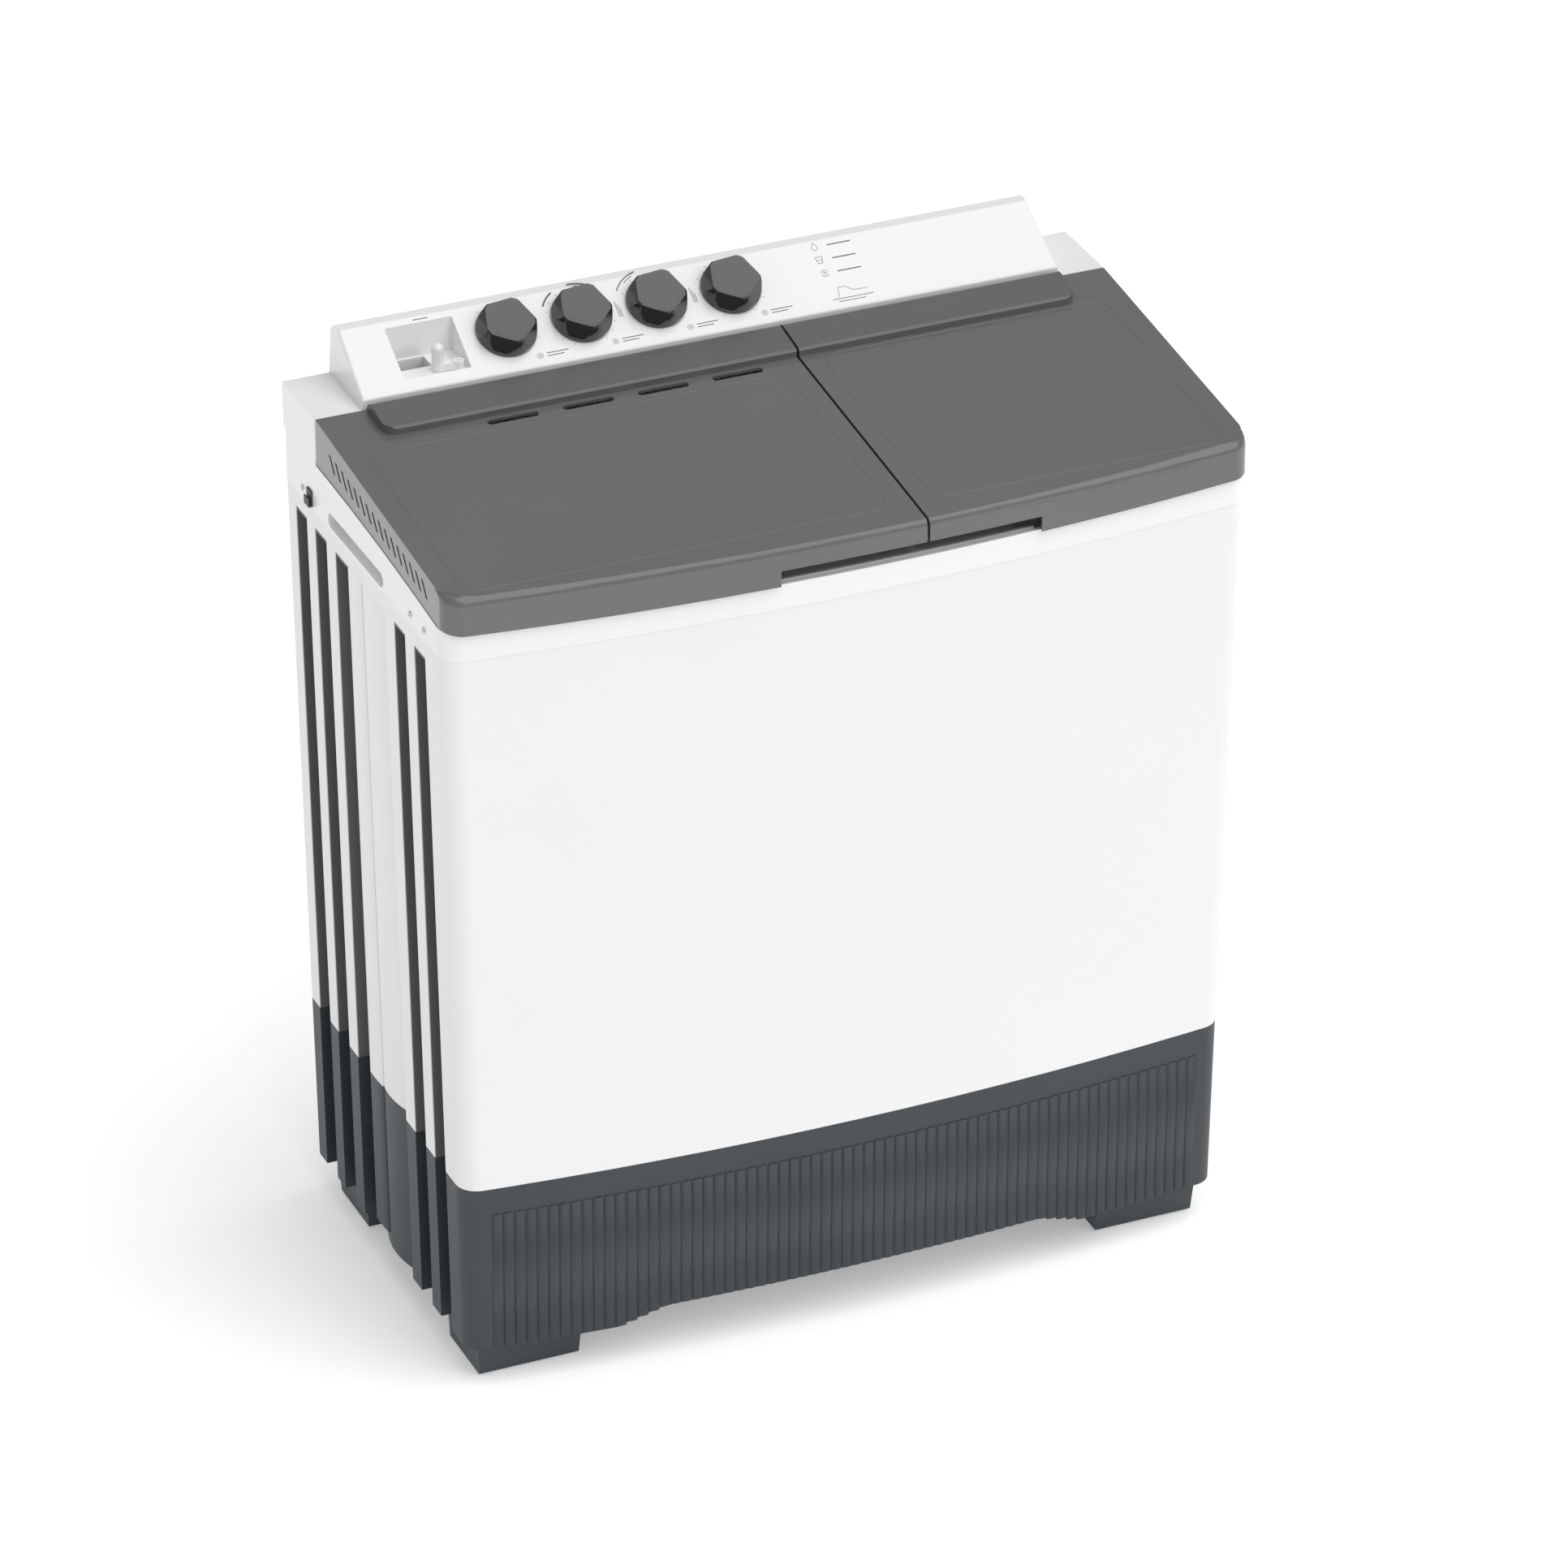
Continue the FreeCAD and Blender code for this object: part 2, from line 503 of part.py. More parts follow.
def lid(x0, x1, posts):
    """One lid: a dished cover with a skirt on three sides and moulded hinge pegs at the rear."""
    span = box(x0, x1, -400, 400, z_base, z_high)
    inner = box(x0 + lid_wall if x0 > -lid_half else -x_out, x1 - lid_wall if x1 < lid_half else x_out,
                -400, 400, z_base, z_high)
    shell = lid_block(0.0).common(span).cut(lid_block(lid_wall, lid_rear + 5).common(inner))
    shell = shell.common(crest(lid_gap))
    for x in posts:
        shell = shell.cut(box(x - 7, x + 7, hinge_y - 7, lid_rear + 1, z_deck, z_high))
    for x in posts:
        peg = rod_along((x - 14, hinge_y, hinge_z), (1, 0, 0), 28, hinge_pin_r)
        cheeks = [box(x + s * 7 - (4 if s < 0 else 0), x + s * 7 + (0 if s < 0 else 4),
                      hinge_y - 5, hinge_y + 5, hinge_z - 8, hinge_z - 0.5) for s in (-1, 1)]
        shell = shell.fuse([peg] + cheeks)
    notch = rounded_box(notch_x0, notch_x1, lid_front - 60, lid_front + 22, z_deck - 7, z_deck + 27,
                        1.0)
    return shell.cut(notch)


def hinge_cover(x0, x1, posts, round_left, round_right):
    """Raised hollow cover along the rear of a lid; its back is rounded about the hinge line."""
    def outline(t):
        arc_r = strip_r - t
        pts = [(strip_front + t, lid_plane(strip_front + t) + (0.0 if t == 0 else -2.0)),
               (strip_front + t, lid_rear_z + 1.0 - 0.2 * t),
               (strip_front + 2.0 + 0.8 * t, lid_rear_z + 3.8 - 0.9 * t),
               (hinge_y, hinge_z + arc_r)]
        for i in range(1, 8):
            a = math.radians(90 - 83.0 * i / 7)
            pts.append((hinge_y + arc_r * math.cos(a), hinge_z + arc_r * math.sin(a)))
        pts.append((hinge_y + arc_r, lid_plane(hinge_y + arc_r) + (0.0 if t == 0 else -2.0)))
        return pts
    t = 2.5
    r = 14.0
    cap = prism_x(outline(0.0), x0, x1)
    hollow = prism_x(outline(t), x0 + t, x1 - t)
    shape = box(x0, x1, strip_front, 200, z_deck, z_high)
    hole = box(x0 + t, x1 - t, strip_front + t, 200, z_deck, z_high)
    for flag, x in ((round_left, x0), (round_right, x1)):
        if flag:
            for tool, inset in ((shape, 0.0), (hole, t)):
                xe = x + inset if flag and x == x0 else x - inset
                front = [e for e in tool.Edges if abs(e.Vertexes[0].Z - e.Vertexes[1].Z) > 50
                         and abs(e.Vertexes[0].X - xe) < 0.01
                         and abs(e.Vertexes[0].Y - strip_front - inset) < 0.01]
                rounded = tool.makeFillet(r - inset, front)
                if inset:
                    hole = rounded
                else:
                    shape = rounded
    cap = cap.common(shape).cut(hollow.common(hole))
    for x in posts:
        cap = cap.cut(box(x - 7, x + 7, hinge_y - 7, lid_rear + 2, z_deck, hinge_z + 8))
        cap = cap.cut(rod_along((x - 15, hinge_y, hinge_z), (1, 0, 0), 30, hinge_pin_r + 0.4))
    return cap


split_half = 1.5
wash_lid = lid(-lid_half - 1, lid_split - split_half, post_xs[:2])
spin_lid = lid(lid_split + split_half, lid_half + 1, post_xs[2:])
slot_x0, slot_len, slot_pitch, slot_y, slot_r = -285.0, 57.5, 84.3, 61.0, 4.5
for i in range(4):
    x = slot_x0 + i * slot_pitch
    slot = box(x + slot_r, x + slot_len - slot_r, slot_y - slot_r, slot_y + slot_r, z_deck, z_high)
    slot = slot.fuse([rod(x + e, slot_y, z_deck, z_high, slot_r) for e in (slot_r, slot_len - slot_r)])
    wash_lid = wash_lid.cut(slot)
vents = []
vent_h, vent_lean = 17.0, 13.0                 # slots that lean back towards their tops
for i in range(16):
    y = 80.0 - i * 17.2
    z = (lid_plane(y) + z_deck + 32.0 + 0.05 * y) / 2 - 1
    outline = [(y + s * vent_lean / 2 + t, z + s * vent_h / 2)
               for s, t in ((1, 2.6), (1, -2.6), (-1, -2.6), (-1, 2.6))]
    vents.append(prism_x(outline, -lid_half - 2, -lid_half + lid_wall + 1))
wash_lid = wash_lid.cut(vents)
parts["wash_lid"] = wash_lid.removeSplitter()
parts["spin_lid"] = spin_lid.removeSplitter()
parts["wash_lid_cover"] = hinge_cover(-strip_half, lid_split - split_half, post_xs[:2], True, False)
parts["spin_lid_cover"] = hinge_cover(lid_split + split_half, strip_half, post_xs[2:], False, True)

# --- knobs, their shafts and what they drive ------------------------------------------------------
knob_names = ("wash_mode", "wash_timer", "drain", "spin_timer")
lift = 1.0                                     # knobs clear the face by this much
knob_facets, knob_turn = 5, 5.0                # sloping flats round the grip
for name, x in zip(knob_names, knob_xs):
    knob = turned([(0, lift), (knob_r, lift), (knob_r, lift + 4), (knob_top_r + 1.5, knob_h - 2),
                   (knob_top_r - 0.5, knob_h), (knob_top_r - 5, knob_h - 0.6), (0, knob_h - 1.0)],
                  x, knob_up)
    for i in range(knob_facets):
        facet = prism_x([(24.0, knob_h + 1), (knob_r - 0.6, lift + 4.5), (60, lift + 4.5),
                         (60, knob_h + 1)], -50, 50)
        facet.rotate(V(0, 0, 0), V(0, 0, 1), 360.0 * i / knob_facets + knob_turn)
        facet.translate(V(x, knob_up, 0))
        knob = knob.cut(facet)
    knob = knob.cut(turned([(0, lift - 1), (knob_r - 3, lift - 1), (knob_top_r - 3, knob_h - 4),
                            (0, knob_h - 4)], x, knob_up).cut(
        rod(x, knob_up, lift - 1, knob_h, 6.5)))
    knob = knob.cut(rod(x, knob_up, lift - 1, knob_h - 5, shaft_r))
    parts["knob_" + name] = on_face(knob)
    parts["shaft_" + name] = on_face(rod(x, knob_up, -26.0, knob_h - 5, shaft_r))
bodies = {"wash_mode_switch": (0, 34.0, 30.0, 22.0), "wash_timer": (1, 52.0, 44.0, 28.0),
          "drain_selector": (2, 36.0, 34.0, 20.0), "spin_timer": (3, 48.0, 42.0, 26.0)}
for name, (i, across, up, deep) in bodies.items():
    x = knob_xs[i]
    z0 = -con_wall - deep
    body = rounded_box(x - across / 2, x + across / 2, knob_up - up / 2, knob_up + up / 2,
                       z0, -con_wall, 3.0)
    bore = rod(x, knob_up, z0 - 1, 0, shaft_r + run)
    if name == "drain_selector":
        crank = box(x - 6, x + 6, knob_up - up / 2 - 8, knob_up - up / 2 + 1, z0 + 6, z0 + 12)
        body = body.fuse(crank)
    else:
        tags = [box(x + dx - 2.5, x + dx + 2.5, knob_up + up / 2 - 1, knob_up + up / 2 + 8,
                    z0 + 5, z0 + 5.8) for dx in (-10, 0, 10)]
        body = body.fuse(tags)
    parts[name] = on_face(body.cut(bore)).removeSplitter()

# --- water inlet ------------------------------------------------------------------------------------
peg_x, peg_y, peg_r, peg_h = recess_x1 - 31.0, recess_y0 + 17.0, 6.5, 31.0
arm_z0, arm_z1 = recess_z + 0.5, recess_z + 8.5
arm_dir = V(peg_x - pivot_x, peg_y - pivot_y, 0)
arm = box(0, arm_dir.Length, -4.5, 4.5, arm_z0, arm_z1)
arm.rotate(V(0, 0, 0), V(0, 0, 1), math.degrees(math.atan2(arm_dir.y, arm_dir.x)))
arm.translate(V(pivot_x, pivot_y, 0))
peg = rod(peg_x, peg_y, arm_z0, recess_z + peg_h - peg_r, peg_r).fuse(
    Part.makeSphere(peg_r, V(peg_x, peg_y, recess_z + peg_h - peg_r)))
selector = arm.fuse([peg, rod(pivot_x, pivot_y, arm_z0, arm_z1 + 1.5, 6.0),
                     rod(pivot_x, pivot_y, recess_z - 14, arm_z0 + 1, shaft_r)])
selector = selector.cut(rod(pivot_x, pivot_y, arm_z1 - 1.5, arm_z1 + 3, 2.6))
parts["inlet_selector"] = selector.removeSplitter()
cx0, cx1 = window[0] - 2, window[1] + 2
trough = box(cx0, cx1, 151.0, window[3] + 2, chute_z0, recess_z - con_wall)
trough = trough.fuse(box(-330, -290, 104, 152, chute_z0, chute_z1))
side_run = box(-310, 265, 168.0, 190.0, chute_z0, chute_z0 + 20)
spin_arm = box(225, 265, 104, 190, chute_z0, chute_z1)
water_way = fuse(box(cx0 + 2, cx1 - 2, 153.0, window[3], chute_z0 + 2, recess_z),
                 box(-328, -292, 100, 154, chute_z0 + 2, chute_z1 - 2),
                 box(-312, 263, 170.0, 188.0, chute_z0 + 2, chute_z0 + 18),
                 box(227, 263, 100, 188, chute_z0 + 2, chute_z1 - 2))
parts["inlet_chute"] = fuse(trough, side_run, spin_arm).cut(water_way)

# --- wash tub and pulsator drive ---------------------------------------------------------------------
tub_top = deck_z0
tub = rounded_box(tub_x0 - 0.5, tub_x1 + 0.5, tub_y0 - 0.5, tub_y1 + 0.5, tub_floor, tub_top, tub_r)
flange = rounded_box(tub_x0 - 12, tub_x1 + 12, tub_y0 - 12, tub_y1 + 12, tub_top - 3, tub_top,
                     tub_r + 12)
tub_in = rounded_box(tub_x0 - 0.5 + tub_wall, tub_x1 + 0.5 - tub_wall, tub_y0 - 0.5 + tub_wall,
                     tub_y1 + 0.5 - tub_wall, tub_floor + 3, tub_top + 1, tub_r - tub_wall)
hub_r = 24.0
bolt_ring = [(agit_x + 50 * math.cos(math.radians(a)), agit_y + 50 * math.sin(math.radians(a)))
             for a in (45, 135, 225, 315)]
hang = [(motor_x + 74 * math.cos(math.radians(a)), motor_y + 74 * math.sin(math.radians(a)))
        for a in (100, 190, 280)]
bosses = [rod(x, y, tub_floor - 14, tub_floor + 1, 8.0) for x, y in bolt_ring + hang]
valve_r = 28.0
neck = box(drain_x - 22, drain_x + 22, tub_y1 - 1, drain_y - 10, tub_floor - 6, tub_floor + 34)
neck_in = box(drain_x - 19, drain_x + 19, tub_y1 - 5, drain_y - 9, tub_floor + 3, tub_floor + 31)
tub = tub.fuse(flange).fuse(bosses).fuse(
    box(drain_x - 22, drain_x + 22, tub_y1 - 1, drain_y - valve_r - 4.5, tub_floor, tub_floor + 34))
tub = tub.cut(tub_in).cut(neck_in).cut(rod(agit_x, agit_y, tub_floor - 5, tub_floor + 5, hub_r))
for x, y in bolt_ring + hang:
    tub = tub.cut(rod(x, y, tub_floor - 15, tub_floor - 3, 2.5))
parts["wash_tub"] = tub.removeSplitter()

gear_z0 = tub_floor - 98.0
gearbox = turned([(8 + run, gear_z0), (40, gear_z0), (40, tub_floor - 18), (62, tub_floor - 18),
                  (62, tub_floor - 14), (hub_r - 0.4, tub_floor - 14), (hub_r - 0.4, tub_floor + 9),
                  (8 + run, tub_floor + 9)], agit_x, agit_y)
plate_z1 = tub_floor - 18.0
bracket = rounded_box(agit_x - 62, motor_x + 84, agit_y - 62, motor_y + 86, plate_z1 - 3, plate_z1,
                      20)
bracket = bracket.cut(rod(agit_x, agit_y, plate_z1 - 5, plate_z1 + 1, 41.0))
bolts = []
for x, y in bolt_ring:
    gearbox = gearbox.cut(rod(x, y, plate_z1 - 1, tub_floor, 2.9))
    bracket = bracket.cut(rod(x, y, plate_z1 - 4, plate_z1 + 1, 2.9))
    bolts.append(screw((x, y, plate_z1 - 3), (0, 0, -1), 5.0, 3.5, 2.5, 17.0))
spacers = [rod(x, y, plate_z1 - 1, tub_floor - 14, 8.0) for x, y in hang]
bracket = bracket.fuse(spacers)
for x, y in hang:
    bracket = bracket.cut(rod(x, y, plate_z1 - 4, tub_floor - 13, 2.9))
    bolts.append(screw((x, y, plate_z1 - 3), (0, 0, -1), 5.0, 3.5, 2.5, 17.0))
motor_r, motor_z0, motor_z1 = 62.0, tub_floor - 104.0, plate_z1 - 3.0
motor_bolt = [(motor_x + 50 * math.cos(math.radians(a)), motor_y + 50 * math.sin(math.radians(a)))
              for a in (20, 140, 260)]
for x, y in motor_bolt:
    bracket = bracket.cut(rod(x, y, plate_z1 - 4, plate_z1 + 1, 2.9))
    bolts.append(screw((x, y, plate_z1), (0, 0, 1), 5.0, 3.5, 2.5, 12.0))
parts["agitator_housing"] = gearbox
parts["motor_bracket"] = bracket.removeSplitter()
parts["drive_bolts"] = Part.makeCompound(bolts)

rotor_r = 6.0
motor = turned([(rotor_r + run, motor_z0), (motor_r - 8, motor_z0), (motor_r, motor_z0 + 8),
                (motor_r, motor_z1 - 8), (motor_r - 8, motor_z1), (rotor_r + run, motor_z1)],
               motor_x, motor_y)
motor = motor.cut(rod(motor_x, motor_y, motor_z0 + 10, motor_z1 - 14, motor_r - 16))
for x, y in motor_bolt:
    motor = motor.cut(rod(x, y, motor_z1 - 11, motor_z1 + 1, 2.5))
for i in range(12):
    a = math.radians(30 * i + 15)
    motor = motor.cut(rod_along((motor_x, motor_y, motor_z0 + 12 + (i % 2) * 12),
                                (math.cos(a), math.sin(a), 0), motor_r + 5, 3.5))
parts["wash_motor"] = motor
rotor = rod(motor_x, motor_y, motor_z0 + 14, motor_z1 - 18, motor_r - 20).fuse(
    rod(motor_x, motor_y, pulley_z0 - 6, motor_z1 - 4, rotor_r))
parts["wash_motor_rotor"] = rotor.removeSplitter()
belt_t, belt_clear = 3.0, 0.4


def pulley(x, y, r, bore_r):
    """Flat-bottomed V pulley; the belt runs in the groove below its rim."""
    z0, z1 = pulley_z0, pulley_z1
    mid = (z0 + z1) / 2
    wheel = turned([(bore_r, z0), (r + 4, z0), (r + 4, z0 + 3), (r, mid - 4), (r, mid + 4),
                    (r + 4, z1 - 3), (r + 4, z1), (bore_r, z1)], x, y)
    return wheel


big = pulley(agit_x, agit_y, pulley_r, 8.0)
for i in range(6):
    a = math.radians(60 * i)
    big = big.cut(rod(agit_x + 58 * math.cos(a), agit_y + 58 * math.sin(a), pulley_z0 - 1,
                      pulley_z1 + 1, 20.0))
parts["driven_pulley"] = big
parts["motor_pulley"] = pulley(motor_x, motor_y, motor_pulley_r, rotor_r)


def belt_loop(extra, z0, z1):
    """Solid under a taut loop round both pulleys."""
    ra, rb = pulley_r + extra, motor_pulley_r + extra
    d = V(motor_x - agit_x, motor_y - agit_y, 0)
    span = d.Length
    base_a, tilt = math.atan2(d.y, d.x), math.acos((ra - rb) / span)
    pts = []
    for s in (1, -1):
        a = base_a + s * tilt
        pts.append((V(agit_x + ra * math.cos(a), agit_y + ra * math.sin(a), z0),
                    V(motor_x + rb * math.cos(a), motor_y + rb * math.sin(a), z0)))
    far_a = V(agit_x - ra * math.cos(base_a), agit_y - ra * math.sin(base_a), z0)
    far_b = V(motor_x + rb * math.cos(base_a), motor_y + rb * math.sin(base_a), z0)
    loop = Part.Wire([Part.makeLine(pts[0][0], pts[0][1]),
                      Part.Arc(pts[0][1], far_b, pts[1][1]).toShape(),
                      Part.makeLine(pts[1][1], pts[1][0]),
                      Part.Arc(pts[1][0], far_a, pts[0][0]).toShape()])
    return Part.Face(loop).extrude(V(0, 0, z1 - z0))


belt_z = (pulley_z0 + pulley_z1) / 2
parts["drive_belt"] = belt_loop(belt_clear + belt_t, belt_z - 3.4, belt_z + 3.4).cut(
    belt_loop(belt_clear, belt_z - 4, belt_z + 4))
parts["agitator_shaft"] = rod(agit_x, agit_y, pulley_z0 - 4, tub_floor + 40, 8.0)
pul_z = tub_floor + 12.0
disc = turned([(0, pul_z), (agit_r, pul_z), (agit_r, pul_z + 5), (agit_r - 22, pul_z + 9),
               (60, pul_z + 18), (34, pul_z + 40), (20, pul_z + 48), (0, pul_z + 50)],
              agit_x, agit_y)
for i in range(6):
    vane = prism_x([(20, pul_z + 3), (agit_r - 8, pul_z + 3), (agit_r - 12, pul_z + 14),
                    (70, pul_z + 34), (20, pul_z + 50)], -5.0, 5.0)
    vane.rotate(V(0, 0, 0), V(0, 0, 1), 60 * i)
    vane.translate(V(agit_x, agit_y, 0))
    disc = disc.fuse(vane)
disc = disc.cut(rod(agit_x, agit_y, pul_z - 1, tub_floor + 40, 8.0))
disc = disc.cut(ring(agit_x, agit_y, pul_z - 1, pul_z + 3, agit_r - 8, 30))
disc = disc.cut(rod(agit_x, agit_y, tub_floor + 39, pul_z + 60, 3.0))
disc = disc.cut(rod(agit_x, agit_y, pul_z + 44, pul_z + 60, 11.0))
parts["pulsator"] = disc.removeSplitter()
parts["agitator_shaft"] = parts["agitator_shaft"].cut(
    rod(agit_x, agit_y, tub_floor + 22, tub_floor + 41, 3.0))
parts["pulsator_screw"] = rod(agit_x, agit_y, tub_floor + 24, pul_z + 44, 3.0).fuse(
    rod(agit_x, agit_y, pul_z + 44, pul_z + 47, 8.0)).removeSplitter()

# --- filters, drain -------------------------------------------------------------------------------------
filter_z0, filter_z1 = 700.0, 850.0
filter_y = tub_y1 + 0.5 - tub_wall
lint = rounded_box(agit_x - 45, agit_x + 45, filter_y - 16, filter_y, filter_z0, filter_z1, 4)
lint = lint.cut(rounded_box(agit_x - 38, agit_x + 38, filter_y - 20, filter_y - 4, filter_z0 + 8,
                            filter_z1 - 12, 3))
bars = [box(agit_x - 39, agit_x + 39, filter_y - 13, filter_y - 11.5, filter_z0 + 20 + 14 * i,
            filter_z0 + 22 + 14 * i) for i in range(9)]
parts["lint_filter"] = lint.fuse(bars).removeSplitter()
over_x = drain_x
over = rounded_box(over_x - 26, over_x + 26, filter_y - 12, filter_y, tub_floor + 3, 800.0, 5)
over = over.cut(rounded_box(over_x - 23, over_x + 23, filter_y - 9.5, filter_y + 4, tub_floor + 1,
                            797.0, 3))
over = over.cut([box(over_x - 18, over_x + 18, filter_y - 15, filter_y - 8, z, z + 3)
                 for z in [tub_floor + 14 + 9 * i for i in range(7)] + [740.0, 750.0, 760.0, 770.0]])
parts["overflow_cover"] = over

valve_z0 = tub_floor - 42.0
valve = rod(drain_x, drain_y, valve_z0, tub_floor + 36, valve_r)
valve = valve.cut(rod(drain_x, drain_y, valve_z0 + 3, tub_floor + 33, valve_r - 3))
valve = valve.fuse(ring(drain_x, drain_y, tub_floor - 10, tub_floor - 7, valve_r - 1, 16.0))
inlet = box(drain_x - 22, drain_x + 22, drain_y - valve_r - 4.5, drain_y, tub_floor, tub_floor + 34)
inlet = inlet.cut(rod(drain_x, drain_y, tub_floor - 1, tub_floor + 40, valve_r - 1))
valve = valve.fuse(inlet)
valve = valve.cut(box(drain_x - 19, drain_x + 19, drain_y - valve_r - 6, drain_y, tub_floor + 3,
                      tub_floor + 31))
port_z = tub_floor - 25.0
pipe_r = hose_r - hose_wall
valve = valve.fuse([rod(drain_x, drain_y, valve_z0 - 22, valve_z0 + 1, pipe_r),
                    rod_along((drain_x + valve_r - 1.5, drain_y, port_z), (1, 0, 0), 24, pipe_r)])
valve = valve.cut([rod(drain_x, drain_y, valve_z0 - 23, valve_z0 + 4, pipe_r - 2.5),
                   rod_along((drain_x + valve_r - 4, drain_y, port_z), (1, 0, 0), 28, pipe_r - 2.5)])
valve = valve.cut(rod(drain_x, drain_y, tub_floor + 30, tub_floor + 40, 4.0 + run))
parts["drain_valve"] = valve.removeSplitter()
plug_z = tub_floor - 7.0
plug = turned([(0, plug_z + 0.3), (19, plug_z + 0.3), (19, plug_z + 6), (10, plug_z + 12),
               (0, plug_z + 12)], drain_x, drain_y)
plug = plug.fuse(turned([(0, plug_z - 9), (11, plug_z - 9), (14.5, plug_z - 2),
                         (14.5, plug_z + 1), (0, plug_z + 1)], drain_x, drain_y))
parts["drain_plug"] = plug.removeSplitter()
rod_top = z_console_low + 24.5
parts["drain_rod"] = rod(drain_x, drain_y, plug_z + 12, rod_top, 4.0).fuse(
    box(drain_x - 5, drain_x + 5, drain_y - 1.5, drain_y + 1.5, rod_top - 1, rod_top + 12))

sump_x, sump_y = 150.0, 60.0
parts["drain_hose"] = hose([(drain_x, drain_y, valve_z0 - 1), (drain_x, drain_y, outlet_z),
                            (outlet_x, drain_y, outlet_z), (outlet_x, rear_y - 14, outlet_z)],
                           42.0, hose_r, pipe_r)
parts["spin_hose"] = hose([(sump_x, sump_y, spin_floor - 2), (sump_x, sump_y, port_z),
                           (sump_x, drain_y, port_z), (drain_x + valve_r, drain_y, port_z)],
                          34.0, hose_r, pipe_r)
out_r = hose_r - 1.0
spigot = rod_along((outlet_x, rear_y - 34, outlet_z), (0, 1, 0), 34, pipe_r)
spigot = spigot.fuse(rod_along((outlet_x, rear_y, outlet_z), (0, 1, 0), 2.5, out_r + 7))
spigot = spigot.fuse(rod_along((outlet_x, rear_y, outlet_z), (0, 1, 0), 5.0, out_r))
spigot = spigot.cut(rod_along((outlet_x, rear_y - 35, outlet_z), (0, 1, 0), 60, out_r - 4))
parts["drain_outlet"] = spigot.removeSplitter()

# --- spin side ------------------------------------------------------------------------------------------
boot_hole = 42.0
outer = turned([(boot_hole, spin_floor), (spin_tub_r, spin_floor), (spin_tub_r, tub_top - 3),
                (spin_tub_r + 7, tub_top - 3), (spin_tub_r + 7, tub_top),
                (spin_tub_r - tub_wall, tub_top), (spin_tub_r - tub_wall, spin_floor + 3),
                (boot_hole, spin_floor + 3)], spin_x, spin_y)
outer = outer.fuse(rod(sump_x, sump_y, spin_floor - 24, spin_floor + 1, pipe_r))
outer = outer.cut(rod(sump_x, sump_y, spin_floor - 25, spin_floor + 5, pipe_r - 2.5))
parts["spin_outer_tub"] = outer
basket_z0, basket_z1 = spin_floor + 24.0, tub_top - 25.0
basket = turned([(0, basket_z0), (basket_r - 6, basket_z0), (basket_r, basket_z0 + 6),
                 (basket_r, basket_z1 - 4), (basket_r + 4, basket_z1 - 4), (basket_r + 4, basket_z1),
                 (basket_r - 14, basket_z1), (basket_r - 14, basket_z1 - 2),
                 (basket_r - 1.5, basket_z1 - 2), (basket_r - 1.5, basket_z0 + 7),
                 (basket_r - 7, basket_z0 + 2), (36, basket_z0 + 2), (30, basket_z0 + 26),
                 (0, basket_z0 + 26)], spin_x, spin_y)
basket = basket.cut(rod(spin_x, spin_y, basket_z0 - 1, basket_z0 + 20, 8.0))
sectors = [box(x, x + 200, y, y + 200, basket_z0 - 1, basket_z1 + 1)
           for x in (spin_x - 200, spin_x) for y in (spin_y - 200, spin_y)]
parts["spin_basket"] = Part.makeCompound([basket.common(q) for q in sectors])
drum_r, drum_z0, drum_z1 = 50.0, 345.0, 370.0
spin_m_z0, spin_m_z1, spin_m_r = 186.0, 330.0, 66.0
parts["spin_shaft"] = fuse(rod(spin_x, spin_y, spin_m_z0 + 8, basket_z0 + 20, 8.0),
                           turned([(7, drum_z0), (drum_r, drum_z0), (drum_r, drum_z1),
                                   (drum_r - 4, drum_z1), (drum_r - 4, drum_z0 + 4),
                                   (16, drum_z0 + 4), (16, drum_z1 + 10), (7, drum_z1 + 10)],
                                  spin_x, spin_y),
                           rod(spin_x, spin_y, spin_m_z0 + 26, spin_m_z1 - 26, spin_m_r - 22))
boot = [(11.5, spin_floor + 13), (11.5, spin_floor - 14)]
for i in range(4):
    boot += [(18.0 + 6 * i, spin_floor - 22 + (i % 2) * 10)]
boot += [(boot_hole - 0.4, spin_floor - 2), (boot_hole - 0.4, spin_floor + 3),
         (boot_hole + 7, spin_floor + 3), (boot_hole + 7, spin_floor + 5.5),
         (boot_hole - 3, spin_floor + 5.5), (boot_hole - 3, spin_floor)]
for i in range(3, -1, -1):
    boot += [(18.0 + 6 * i - (1.5 if i == 3 else 0), spin_floor - 19 + (i % 2) * 10)]
boot += [(14.5, spin_floor - 11), (14.5, spin_floor + 13)]
parts["shaft_boot"] = turned(boot, spin_x, spin_y)
spin_bore = 8.0 + run
stator = turned([(spin_bore, spin_m_z0 + 4), (spin_bore, spin_m_z1), (spin_m_r - 9, spin_m_z1),
                 (spin_m_r, spin_m_z1 - 9), (spin_m_r, spin_m_z0 + 9), (spin_m_r - 9, spin_m_z0),
                 (0, spin_m_z0), (0, spin_m_z0 + 4)], spin_x, spin_y)
stator = stator.cut(rod(spin_x, spin_y, spin_m_z0 + 22, spin_m_z1 - 22, spin_m_r - 18))
parts["spin_motor"] = stator
plate_top = spin_m_z0
ears = turned([(0, plate_top - 4), (78, plate_top - 4), (78, plate_top), (0, plate_top)],
              spin_x, spin_y)
lever_x, lever_y = spin_x - 92.0, spin_y + drum_r + 12.0
post = rod(lever_x, lever_y, plate_top - 4, drum_z0 - 6, 6.0).fuse(
    rod(lever_x, lever_y, drum_z0 - 6, drum_z1 + 2, 4.0))
web = box(lever_x - 8, spin_x, lever_y - 8, lever_y + 8, plate_top - 4, plate_top)
sockets = [rod(x, y, plate_top - 10, plate_top - 3, 8.0) for x, y in boss_xy]
